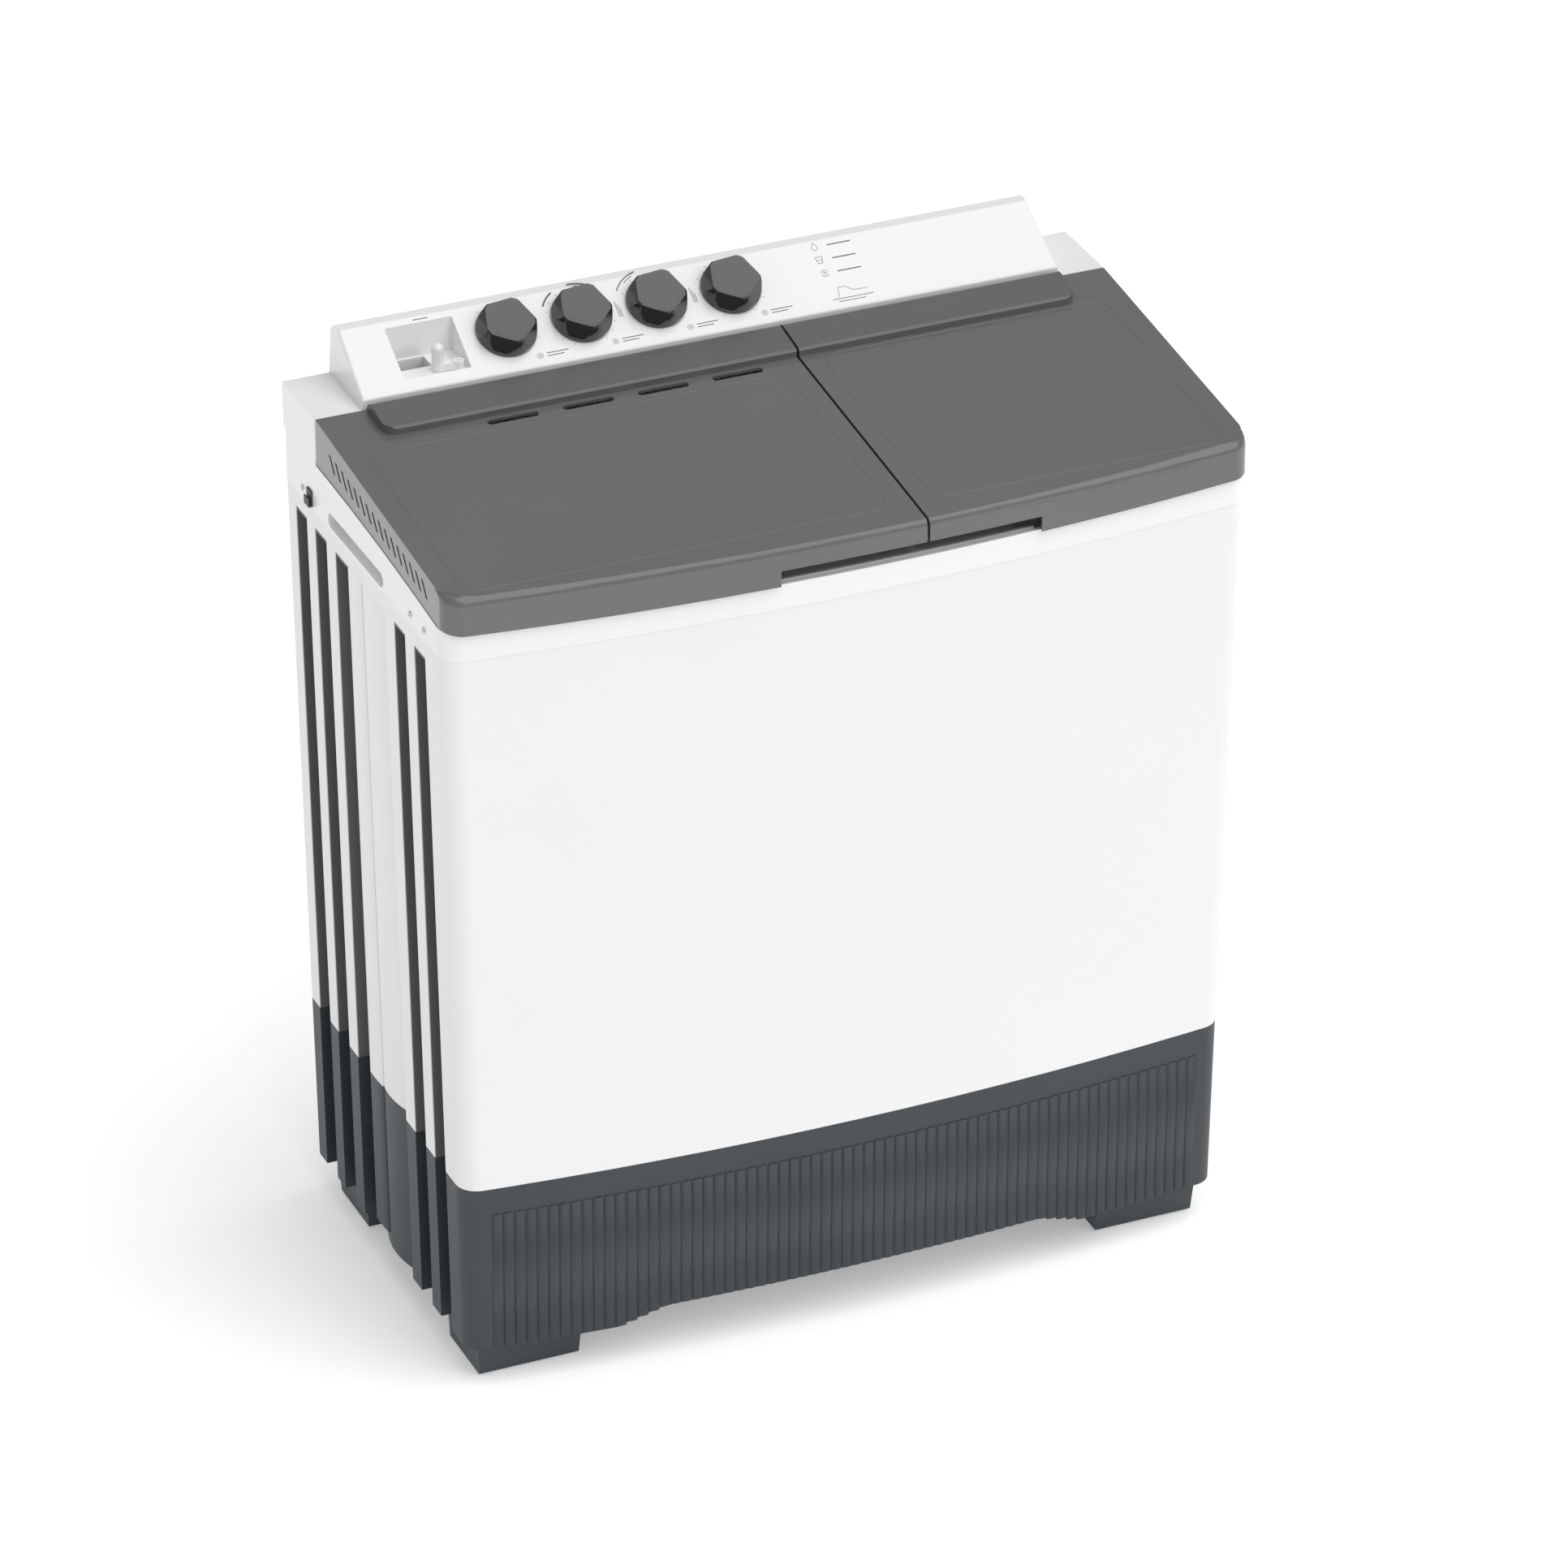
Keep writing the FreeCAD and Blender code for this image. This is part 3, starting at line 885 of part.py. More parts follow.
parts["spin_motor_plate"] = fuse(ears, post, web, *sockets)
spring_z0, spring_z1 = plate_z + wall, plate_top - 4
coil_r, wire_r, turns = 12.0, 1.6, 7
springs = []
for x, y in boss_xy:
    helix = Part.makeHelix((spring_z1 - spring_z0 - 2 * wire_r - 0.4) / turns,
                           spring_z1 - spring_z0 - 2 * wire_r - 0.4, coil_r)
    helix.translate(V(x, y, spring_z0 + wire_r + 0.2))
    start = V(x + coil_r, y, spring_z0 + wire_r + 0.2)
    section = Part.Wire(Part.makeCircle(wire_r, start, V(0, 1, 0.12)))
    springs.append(Part.Wire(helix.Edges).makePipeShell([section], True, True))
parts["suspension_springs"] = Part.makeCompound(springs)
lever_z0, lever_z1 = drum_z0 + 2, drum_z1 - 2
shoe_gap = 3.0
shoe_y = spin_y + drum_r + shoe_gap
arm = box(lever_x, spin_x + 26, lever_y - 3, lever_y + 3, lever_z0 + 4, lever_z1 - 4)
lever = arm.fuse([rod(lever_x, lever_y, lever_z0 - 6, lever_z1 + 2, 9.0),
                  box(spin_x - 14, spin_x + 14, shoe_y, lever_y - 2, lever_z0 + 2, lever_z1 - 2),
                  box(lever_x - 30, lever_x + 1, lever_y - 3, lever_y + 3, lever_z0 + 4,
                      lever_z1 - 4)])
lever = lever.cut(rod(lever_x, lever_y, lever_z0 - 10, lever_z1 + 10, 4.0 + run))
parts["brake_lever"] = lever.removeSplitter()

# --- small fixed pieces -------------------------------------------------------------------------------
cap_y, cap_z, cap_r = rear_y - wall - 24.0, 268.0, 20.0
can = rod_along((190, cap_y, cap_z), (1, 0, 0), 78, cap_r)
saddle = box(215, 243, cap_y, rear_y - wall, cap_z - cap_r - 2, cap_z + cap_r + 2)
saddle = saddle.fuse(rod_along((215, cap_y, cap_z), (1, 0, 0), 28, cap_r + 2))
parts["capacitor"] = can
parts["capacitor_clip"] = saddle.cut(rod_along((214, cap_y, cap_z), (1, 0, 0), 30, cap_r))
gland_bore = 4.0
gland = rod_along((gland_x, rear_y - wall - 3, gland_z), (0, 1, 0), 3, 11.0)
gland = gland.fuse(rod_along((gland_x, rear_y - wall - 3, gland_z), (0, 1, 0), wall + 6, 8.0))
gland = gland.fuse(rod_along((gland_x, rear_y, gland_z), (0, 1, 0), 3.0, 11.0))
parts["cord_gland"] = gland.cut(
    rod_along((gland_x, rear_y - 20, gland_z), (0, 1, 0), 40, gland_bore)).removeSplitter()
hook_x, hook_y, hook_z = -half_width - 0.5, 146.0, z_seam + 15.0
hook = box(hook_x - 2.0, hook_x, hook_y - 7, hook_y + 7, hook_z - 12, hook_z + 6)
hook = hook.fuse([box(hook_x - 5.0, hook_x, hook_y - 7, hook_y + 7, hook_z - 12, hook_z - 9.5),
                  box(hook_x - 5.0, hook_x - 3.4, hook_y - 7, hook_y + 7, hook_z - 12, hook_z - 2)])
parts["hose_hook"] = hook.removeSplitter()
sw_x = half_width - 55.0
parts["lid_switch"] = box(sw_x, sw_x + 22, console_front + con_wall, console_front + con_wall + 28,
                          z_shelf - con_wall - 16, z_shelf - con_wall).fuse(
    [box(sw_x + 4, sw_x + 8, console_front + con_wall + 27, console_front + con_wall + 34,
         z_shelf - con_wall - 10, z_shelf - con_wall - 9),
     box(sw_x + 14, sw_x + 18, console_front + con_wall + 27, console_front + con_wall + 34,
         z_shelf - con_wall - 10, z_shelf - con_wall - 9)]).removeSplitter()

# --- centre the outer box over the origin and write one file per piece --------------------------------
extents = [s.optimalBoundingBox() for s in parts.values()]
shift = round(-(min(b.YMin for b in extents) + max(b.YMax for b in extents)) / 2, 1)
print("shift", shift, "hinge", hinge_y + shift, hinge_z)
for name, shape in sorted(parts.items()):
    shape = shape.copy()
    shape.translate(V(0, shift, 0))
    bb = shape.optimalBoundingBox()
    print(name, "solids", len(shape.Solids), "valid", shape.isValid(), "vol", round(shape.Volume),
          [round(v) for v in (bb.XMin, bb.XMax, bb.YMin, bb.YMax, bb.ZMin, bb.ZMax)])
    shape.exportStep("parts/" + name + ".step")
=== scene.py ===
import json
import math
import bmesh
import bpy
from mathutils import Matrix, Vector

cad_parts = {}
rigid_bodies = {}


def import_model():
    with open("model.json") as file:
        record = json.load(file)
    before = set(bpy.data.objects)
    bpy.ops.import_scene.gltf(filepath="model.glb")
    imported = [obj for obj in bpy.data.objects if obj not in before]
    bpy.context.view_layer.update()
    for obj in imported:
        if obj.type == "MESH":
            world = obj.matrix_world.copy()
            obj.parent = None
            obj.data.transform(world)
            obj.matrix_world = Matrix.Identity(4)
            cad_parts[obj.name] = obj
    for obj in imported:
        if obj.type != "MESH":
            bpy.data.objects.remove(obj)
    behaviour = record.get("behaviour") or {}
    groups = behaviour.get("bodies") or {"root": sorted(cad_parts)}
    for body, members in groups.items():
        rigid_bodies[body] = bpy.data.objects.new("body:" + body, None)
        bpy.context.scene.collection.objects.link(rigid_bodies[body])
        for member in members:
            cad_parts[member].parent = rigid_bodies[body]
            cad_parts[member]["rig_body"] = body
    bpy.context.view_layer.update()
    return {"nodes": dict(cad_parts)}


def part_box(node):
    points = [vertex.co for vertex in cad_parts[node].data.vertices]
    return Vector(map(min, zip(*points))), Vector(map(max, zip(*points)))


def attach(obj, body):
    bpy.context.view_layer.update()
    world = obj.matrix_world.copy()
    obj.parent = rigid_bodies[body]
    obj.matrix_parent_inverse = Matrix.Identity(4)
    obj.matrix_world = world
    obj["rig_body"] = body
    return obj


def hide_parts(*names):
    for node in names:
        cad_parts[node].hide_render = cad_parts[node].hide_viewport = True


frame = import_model()
nodes = frame["nodes"]

# ---- Base plinth ------------------------------------------------------------------------------
# One slate-grey polypropylene moulding that carries everything: a skirt with a toe arch, grooved
# ends and four feet. The cabinet drops onto its upper rim.


def moulded(name, colour, rough, grain=0.00012, grain_scale=900.0, tint=0.03, coat=0.0):
    """Injection-moulded plastic: a little cloudiness, uneven gloss and a fine spark-eroded grain."""
    mat = bpy.data.materials.new(name)
    mat.use_nodes = True
    tree = mat.node_tree
    shader = tree.nodes["Principled BSDF"]
    coords = tree.nodes.new("ShaderNodeTexCoord")
    cloud = tree.nodes.new("ShaderNodeTexNoise")
    cloud.inputs["Scale"].default_value = 3.5
    cloud.inputs["Detail"].default_value = 2.0
    fine = tree.nodes.new("ShaderNodeTexNoise")
    fine.inputs["Scale"].default_value = grain_scale
    fine.inputs["Detail"].default_value = 1.0
    ramp = tree.nodes.new("ShaderNodeValToRGB")
    ramp.color_ramp.elements[0].position = 0.3
    ramp.color_ramp.elements[1].position = 0.7
    ramp.color_ramp.elements[0].color = tuple(c * (1 - tint) for c in colour) + (1.0,)
    ramp.color_ramp.elements[1].color = tuple(min(1.0, c * (1 + tint)) for c in colour) + (1.0,)
    gloss = tree.nodes.new("ShaderNodeMapRange")
    gloss.inputs["From Min"].default_value = 0.3
    gloss.inputs["From Max"].default_value = 0.7
    gloss.inputs["To Min"].default_value = rough * 0.92
    gloss.inputs["To Max"].default_value = min(1.0, rough * 1.08)
    bump = tree.nodes.new("ShaderNodeBump")
    bump.inputs["Strength"].default_value = 0.35
    bump.inputs["Distance"].default_value = grain
    for texture in (cloud, fine):
        tree.links.new(coords.outputs["Object"], texture.inputs["Vector"])
    tree.links.new(cloud.outputs["Fac"], ramp.inputs["Fac"])
    tree.links.new(ramp.outputs["Color"], shader.inputs["Base Color"])
    tree.links.new(fine.outputs["Fac"], gloss.inputs["Value"])
    tree.links.new(gloss.outputs["Result"], shader.inputs["Roughness"])
    tree.links.new(fine.outputs["Fac"], bump.inputs["Height"])
    tree.links.new(bump.outputs["Normal"], shader.inputs["Normal"])
    shader.inputs["Coat Weight"].default_value = coat
    shader.inputs["Coat Roughness"].default_value = 0.12
    return mat


def dress(name, mat):
    """Gives a carried-over node its finish."""
    mesh = nodes[name].data
    mesh.materials.clear()
    mesh.materials.append(mat)
    return nodes[name]


def meshed(name, shape, *mats):
    """Turns a built shape into a mesh with its finishes."""
    mesh = bpy.data.meshes.new(name)
    for mat in mats:
        mesh.materials.append(mat)
    shape.to_mesh(mesh)
    shape.free()
    return mesh


def set_down(name, mesh, body):
    """Adds a mesh to the scene as a piece that rides one body."""
    piece = bpy.data.objects.new(name, mesh)
    bpy.context.scene.collection.objects.link(piece)
    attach(piece, body)
    return piece


weld_gap = 5e-6


def softened(name, mat, edge, sharp=32.0, joins=None, second=None, takes_second=None):
    """A moulding with its mould radii: the node's shape, merged, with every crisp edge rounded.
    joins says which points lie on an inner joint face; second is a finish for the faces that
    wears picks out."""
    shape = bmesh.new()
    shape.from_mesh(nodes[name].data)
    bmesh.ops.remove_doubles(shape, verts=shape.verts, dist=weld_gap)
    if joins:
        inner = [f for f in shape.faces if all(joins(v.co) for v in f.verts)]
        bmesh.ops.delete(shape, geom=inner, context="FACES")
    bmesh.ops.dissolve_limit(shape, angle_limit=math.radians(0.6), verts=shape.verts,
                             edges=shape.edges)
    shape.normal_update()
    for face in shape.faces:
        face.smooth = True
        face.material_index = 1 if second and takes_second(face) else 0
    finishes = (mat, second) if second else (mat,)
    piece = set_down(name + "_moulding", meshed(name, shape, *finishes), nodes[name]["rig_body"])
    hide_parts(name)
    round_over = piece.modifiers.new("mould radius", "BEVEL")
    round_over.width = edge
    round_over.segments = 2
    round_over.limit_method = "ANGLE"
    round_over.angle_limit = math.radians(sharp)
    round_over.harden_normals = False
    round_over.use_clamp_overlap = True
    flat = piece.modifiers.new("even shading", "WEIGHTED_NORMAL")
    flat.keep_sharp = True


slate = moulded("slate grained plastic", (0.036, 0.045, 0.0525), 0.5, grain=0.0002)
softened("base", slate, 0.0012)

# ---- Fluted skirt -------------------------------------------------------------------------------
# Upright half-round flutes cover the front of the plinth below a plain band. They are part of the
# same moulding; each one ends on the lower edge of the skirt, so they shorten over the feet.


def node_tree(name, inputs):
    """An empty Geometry Nodes tree with named number inputs; returns it with its two end nodes."""
    tree = bpy.data.node_groups.new(name, "GeometryNodeTree")
    tree.interface.new_socket("Geometry", in_out="INPUT", socket_type="NodeSocketGeometry")
    for label, kind, value in inputs:
        socket = tree.interface.new_socket(label, in_out="INPUT", socket_type=kind)
        socket.default_value = value
    tree.interface.new_socket("Geometry", in_out="OUTPUT", socket_type="NodeSocketGeometry")
    return tree, tree.nodes.new("NodeGroupInput"), tree.nodes.new("NodeGroupOutput")


def wire(tree, *pairs):
    """Joins pairs of sockets, each given as (from, to)."""
    for source, target in pairs:
        tree.links.new(source, target)


def arithmetic(tree, operation, first, second):
    """A Math node fed by sockets or plain numbers; returns its output."""
    node = tree.nodes.new("ShaderNodeMath")
    node.operation = operation
    for slot, value in zip(node.inputs, (first, second)):
        if isinstance(value, (int, float)):
            slot.default_value = value
        else:
            tree.links.new(value, slot)
    return node.outputs[0]


def grown(name, seed_points, tree, settings, mat, body, smooth=True):
    """Runs a tree on a cloud of points and keeps the result as a plain mesh piece."""
    mesh = bpy.data.meshes.new(name + " points")
    mesh.from_pydata(seed_points, [], [])
    carrier = bpy.data.objects.new(name + " carrier", mesh)
    bpy.context.scene.collection.objects.link(carrier)
    modifier = carrier.modifiers.new("growth", "NODES")
    modifier.node_group = tree
    for item in tree.interface.items_tree:
        if item.in_out == "INPUT" and item.name in settings:
            modifier[item.identifier] = settings[item.name]
    graph = bpy.context.evaluated_depsgraph_get()
    result = bpy.data.meshes.new_from_object(carrier.evaluated_get(graph))
    bpy.data.objects.remove(carrier)
    result.name = name
    if not result.materials:
        result.materials.append(mat)
    for face in result.polygons:
        face.use_smooth = smooth
    return set_down(name, result, body)


flute_tree, flute_in, flute_out = node_tree("flutes", [
    ("Width", "NodeSocketFloat", 0.0122), ("Swell", "NodeSocketFloat", 0.0017),
    ("Top", "NodeSocketFloat", 0.212), ("Arch half", "NodeSocketFloat", 0.218),
    ("Foot half", "NodeSocketFloat", 0.270), ("Arch height", "NodeSocketFloat", 0.0625),
    ("Skirt height", "NodeSocketFloat", 0.0470), ("Bow radius", "NodeSocketFloat", 3.6),
    ("Draft", "NodeSocketFloat", 0.0079), ("Draft from", "NodeSocketFloat", 0.244)])
at = flute_tree.nodes.new("GeometryNodeInputPosition")
split = flute_tree.nodes.new("ShaderNodeSeparateXYZ")
wire(flute_tree, (at.outputs[0], split.inputs[0]))
away = arithmetic(flute_tree, "ABSOLUTE", split.outputs["X"], 0.0)
drop = flute_tree.nodes.new("ShaderNodeMapRange")
wire(flute_tree, (away, drop.inputs["Value"]),
     (flute_in.outputs["Arch half"], drop.inputs["From Min"]),
     (flute_in.outputs["Foot half"], drop.inputs["From Max"]),
     (flute_in.outputs["Arch height"], drop.inputs["To Min"]),
     (flute_in.outputs["Skirt height"], drop.inputs["To Max"]))
tall = arithmetic(flute_tree, "SUBTRACT", flute_in.outputs["Top"], drop.outputs["Result"])
mid = arithmetic(flute_tree, "MULTIPLY",
                 arithmetic(flute_tree, "ADD", flute_in.outputs["Top"], drop.outputs["Result"]), 0.5)
turn = arithmetic(flute_tree, "DIVIDE", split.outputs["X"], flute_in.outputs["Bow radius"])
bar = flute_tree.nodes.new("GeometryNodeMeshCylinder")
bar.inputs["Vertices"].default_value = 16
bar.inputs["Radius"].default_value = 0.5
bar.inputs["Depth"].default_value = 1.0
size = flute_tree.nodes.new("ShaderNodeCombineXYZ")
wire(flute_tree, (flute_in.outputs["Width"], size.inputs["X"]), (tall, size.inputs["Z"]),
     (arithmetic(flute_tree, "MULTIPLY", flute_in.outputs["Swell"], 2.0), size.inputs["Y"]))
facing = flute_tree.nodes.new("ShaderNodeCombineXYZ")
wire(flute_tree, (turn, facing.inputs["Z"]), (flute_in.outputs["Draft"], facing.inputs["X"]))
lift = flute_tree.nodes.new("ShaderNodeCombineXYZ")
lean = arithmetic(flute_tree, "MULTIPLY", flute_in.outputs["Draft"],
                  arithmetic(flute_tree, "SUBTRACT", flute_in.outputs["Draft from"], mid))
wire(flute_tree, (mid, lift.inputs["Z"]), (lean, lift.inputs["Y"]))
spread = flute_tree.nodes.new("GeometryNodeInstanceOnPoints")
raised = flute_tree.nodes.new("GeometryNodeSetPosition")
solid = flute_tree.nodes.new("GeometryNodeRealizeInstances")
paint = flute_tree.nodes.new("GeometryNodeSetMaterial")
paint.inputs["Material"].default_value = slate
wire(flute_tree, (flute_in.outputs["Geometry"], spread.inputs["Points"]),
     (bar.outputs["Mesh"], spread.inputs["Instance"]), (size.outputs[0], spread.inputs["Scale"]),
     (facing.outputs[0], spread.inputs["Rotation"]),
     (spread.outputs["Instances"], raised.inputs["Geometry"]),
     (lift.outputs[0], raised.inputs["Offset"]),
     (raised.outputs["Geometry"], solid.inputs["Geometry"]),
     (solid.outputs["Geometry"], paint.inputs["Geometry"]),
     (paint.outputs["Geometry"], flute_out.inputs["Geometry"]))
front_y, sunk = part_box("base")[0].y, 0.0003
bow, half_span = 0.027, 0.437
bow_radius = (half_span ** 2 + bow ** 2) / (2 * bow)
flutes, flute_pitch = 67, 0.0122
points = []
for i in range(flutes):
    x = (i - (flutes - 1) / 2) * flute_pitch
    sag = bow_radius - math.sqrt(bow_radius ** 2 - x * x)
    points.append((x, front_y + sunk + sag, 0.0))
grown("skirt_flutes", points, flute_tree, {"Bow radius": bow_radius}, slate, "cabinet")

# ---- Foot pads ---------------------------------------------------------------------------------
# Four thin rubber pads pressed into the undersides of the feet. Matt black rubber, cut from sheet.
rubber = moulded("matt black rubber", (0.022, 0.022, 0.023), 0.78, grain=0.0003, grain_scale=500.0)
dress("foot_pads", rubber)

# ---- Cabinet and groove liners -----------------------------------------------------------------
# White polypropylene body, one deep injection moulding with a bowed front and grooved ends. Dark
# liners snap into the five grooves of each end.
cabinet_white = moulded("cabinet white plastic", (0.86, 0.86, 0.86), 0.34, grain=0.00006, tint=0.006)
joint_in, joint_gap = 0.060, 2e-5
corner_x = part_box("cabinet_shell")[1].x - joint_in
softened("cabinet_shell", cabinet_white, 0.0022,
         joins=lambda co: abs(abs(co.x) - corner_x) < joint_gap)
groove_grey = moulded("groove liner plastic", (0.125, 0.128, 0.131), 0.5)
dress("side_strips", groove_grey)

# ---- Side panel edges -------------------------------------------------------------------------------
# Along the third groove the swelling side panel ends in an upright edge that closes the groove's
# front side. White on the cabinet, slate on the plinth, and drafted like the sides.
body_low, body_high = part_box("cabinet_shell")
side_draft = 11.0 / 633.0
groove_top, groove_foot = body_high.z - 0.0215, 0.0600
edge_plan = [(0.0262, 0.0642), (0.0032, 0.0642), (0.0020, 0.0636), (0.0014, 0.0625), (0.0013, 0.0600),
             (0.0012, 0.0520), (0.0014, 0.0420), (0.0020, 0.0300), (0.0032, 0.0285), (0.0262, 0.0500)]
for name, z0, z1, mat, slot in (
        ("side_panel_edges", body_low.z, groove_top, cabinet_white, "cabinet_white"),
        ("plinth_panel_edges", groove_foot, body_low.z, slate, "base_slate")):
    shape = bmesh.new()
    for side in (-1, 1):
        rings = []
        for z in (z0, z1):
            lean = (body_high.z - z) * side_draft
            rings.append([shape.verts.new((side * (body_high.x - lean - depth), y, z))
                          for depth, y in edge_plan])
        for i in range(len(edge_plan)):
            j = (i + 1) % len(edge_plan)
            shape.faces.new((rings[0][i], rings[0][j], rings[1][j], rings[1][i]))
        shape.faces.new(rings[0])
        shape.faces.new(rings[1])
    bmesh.ops.recalc_face_normals(shape, faces=shape.faces)
    for face in shape.faces:
        face.smooth = True
    piece = set_down(name, meshed(name, shape, mat), "cabinet")
    crisp = piece.modifiers.new("crisp edges", "EDGE_SPLIT")
    crisp.split_angle = math.radians(40)

# ---- Top cover ---------------------------------------------------------------------------------
# Glossier white cover that closes the cabinet and frames both tubs. It has a finger recess in each
# end, is held by self-tapping screws, and carries a small clip for hanging up the drain hose.
cover_white = moulded("cover white plastic", (0.9, 0.9, 0.9), 0.24, grain=0.00003, tint=0.005,
                      coat=0.15)
softened("top_cover", cover_white, 0.0016)
softened("hose_hook", slate, 0.0004)

# ---- Screws and bolts ---------------------------------------------------------------------------
# Zinc-plated pan heads with a cross recess: self-tapping ones in the cover and back panel, machine
# screws in the drive. The CAD screws give shank and place; on the cover and the back panel a head
# with its recess covers each plain one.


def metal(name, colour, rough, along=None, depth=0.00008):
    """Bare or plated metal with fine drawn or turned marks and patchy gloss."""
    mat = bpy.data.materials.new(name)
    mat.use_nodes = True
    tree = mat.node_tree
    shader = tree.nodes["Principled BSDF"]
    shader.inputs["Metallic"].default_value = 1.0
    coords = tree.nodes.new("ShaderNodeTexCoord")
    place = tree.nodes.new("ShaderNodeMapping")
    place.inputs["Scale"].default_value = along or (1.0, 1.0, 1.0)
    marks = tree.nodes.new("ShaderNodeTexNoise")
    marks.inputs["Scale"].default_value = 320.0
    marks.inputs["Detail"].default_value = 2.0
    ramp = tree.nodes.new("ShaderNodeValToRGB")
    ramp.color_ramp.elements[0].position = 0.35
    ramp.color_ramp.elements[1].position = 0.65
    ramp.color_ramp.elements[0].color = tuple(c * 0.86 for c in colour) + (1.0,)
    ramp.color_ramp.elements[1].color = tuple(min(1.0, c * 1.06) for c in colour) + (1.0,)
    gloss = tree.nodes.new("ShaderNodeMapRange")
    gloss.inputs["To Min"].default_value = rough * 0.75
    gloss.inputs["To Max"].default_value = rough * 1.25
    bump = tree.nodes.new("ShaderNodeBump")
    bump.inputs["Strength"].default_value = 0.3
    bump.inputs["Distance"].default_value = depth
    wire(tree, (coords.outputs["Object"], place.inputs["Vector"]),
         (place.outputs["Vector"], marks.inputs["Vector"]), (marks.outputs["Fac"], ramp.inputs["Fac"]),
         (ramp.outputs["Color"], shader.inputs["Base Color"]),
         (marks.outputs["Fac"], gloss.inputs["Value"]),
         (gloss.outputs["Result"], shader.inputs["Roughness"]),
         (marks.outputs["Fac"], bump.inputs["Height"]),
         (bump.outputs["Normal"], shader.inputs["Normal"]))
    return mat


zinc = metal("zinc plating", (0.62, 0.63, 0.65), 0.38)
for name in ("top_cover_screws", "rear_screws", "drive_bolts", "pulsator_screw",
             "suspension_springs"):
    dress(name, zinc)


def cross_head(radius, tall):
    """One domed screw head, upright on the origin, with a cross recess."""
    arm, slim, deep = radius * 0.52, radius * 0.15, tall * 0.7
    cross = [(arm, slim), (slim, slim), (slim, arm), (-slim, arm), (-slim, slim), (-arm, slim),
             (-arm, -slim), (-slim, -slim), (-slim, -arm), (slim, -arm), (slim, -slim), (arm, -slim)]
    rings = [[(x, y, tall - deep) for x, y in cross], [(x, y, tall) for x, y in cross]]
    for share, height in ((0.7, tall * 0.97), (0.92, tall * 0.72), (1.0, tall * 0.3), (1.0, -0.0001)):
        rings.append([(radius * share * math.cos(math.atan2(y, x)),
                       radius * share * math.sin(math.atan2(y, x)), height) for x, y in cross])
    shape = bmesh.new()
    loops = [[shape.verts.new(co) for co in ring] for ring in rings]
    shape.faces.new(loops[0])
    for low, high in zip(loops, loops[1:]):
        for i in range(12):
            j = (i + 1) % 12
            shape.faces.new((low[i], low[j], high[j], high[i]))
    bmesh.ops.recalc_face_normals(shape, faces=shape.faces)
    if shape.faces[0].normal.z < 0:
        bmesh.ops.reverse_faces(shape, faces=shape.faces)
    head = bpy.data.objects.new("cross head", meshed("cross head", shape))
    bpy.context.scene.collection.objects.link(head)
    return head


def head_places(name):
    """Where each screw of a node has its head: the middle of the head's top, and the way it faces."""
    shape = bmesh.new()
    shape.from_mesh(nodes[name].data)
    bmesh.ops.remove_doubles(shape, verts=shape.verts, dist=weld_gap)
    left, places = set(shape.verts), []
    while left:
        island, edge_of = [], [left.pop()]
        while edge_of:
            vert = edge_of.pop()
            island.append(vert.co.copy())
            for link in vert.link_edges:
                other = link.other_vert(vert)
                if other in left:
                    left.discard(other)
                    edge_of.append(other)
        low = Vector([min(co[k] for co in island) for k in range(3)])
        high = Vector([max(co[k] for co in island) for k in range(3)])
        axis = max(range(3), key=lambda k: high[k] - low[k])
        middle = (low + high) / 2
        flat_axes = [k for k in range(3) if k != axis]
        ends = []
        for level, way in ((low[axis], -1), (high[axis], 1)):
            near = [co for co in island if abs(co[axis] - level) < 0.002]
            widest = max(math.hypot(*(co[k] - middle[k] for k in flat_axes)) for co in near)
            ends.append((widest, level, way))
        _, level, way = max(ends)
        middle[axis] = level
        places.append((middle, axis, way))
    shape.free()
    return places


head_tree, head_in, head_out = node_tree("screw heads", [
    ("Turn X", "NodeSocketFloat", 0.0), ("Turn Y", "NodeSocketFloat", 0.0),
    ("Twist", "NodeSocketFloat", 0.5)])
head_shape = head_tree.nodes.new("GeometryNodeObjectInfo")
head_turn = head_tree.nodes.new("ShaderNodeCombineXYZ")
head_on = head_tree.nodes.new("GeometryNodeInstanceOnPoints")
head_twist = head_tree.nodes.new("GeometryNodeRotateInstances")
head_angle = head_tree.nodes.new("ShaderNodeCombineXYZ")
head_index = head_tree.nodes.new("GeometryNodeInputIndex")
head_real = head_tree.nodes.new("GeometryNodeRealizeInstances")
head_paint = head_tree.nodes.new("GeometryNodeSetMaterial")
head_paint.inputs["Material"].default_value = zinc
wire(head_tree, (head_in.outputs["Geometry"], head_on.inputs["Points"]),
     (head_shape.outputs["Geometry"], head_on.inputs["Instance"]),
     (head_in.outputs["Turn X"], head_turn.inputs["X"]),
     (head_in.outputs["Turn Y"], head_turn.inputs["Y"]),
     (head_turn.outputs[0], head_on.inputs["Rotation"]),
     (head_on.outputs["Instances"], head_twist.inputs["Instances"]),
     (arithmetic(head_tree, "MULTIPLY", head_index.outputs[0], head_in.outputs["Twist"]),
      head_angle.inputs["Z"]),
     (head_angle.outputs[0], head_twist.inputs["Rotation"]),
     (head_twist.outputs["Instances"], head_real.inputs["Geometry"]),
     (head_real.outputs["Geometry"], head_paint.inputs["Geometry"]),
     (head_paint.outputs["Geometry"], head_out.inputs["Geometry"]))
over_radius, over_height, head_twist_step = 1.02, 1.1, 1.1
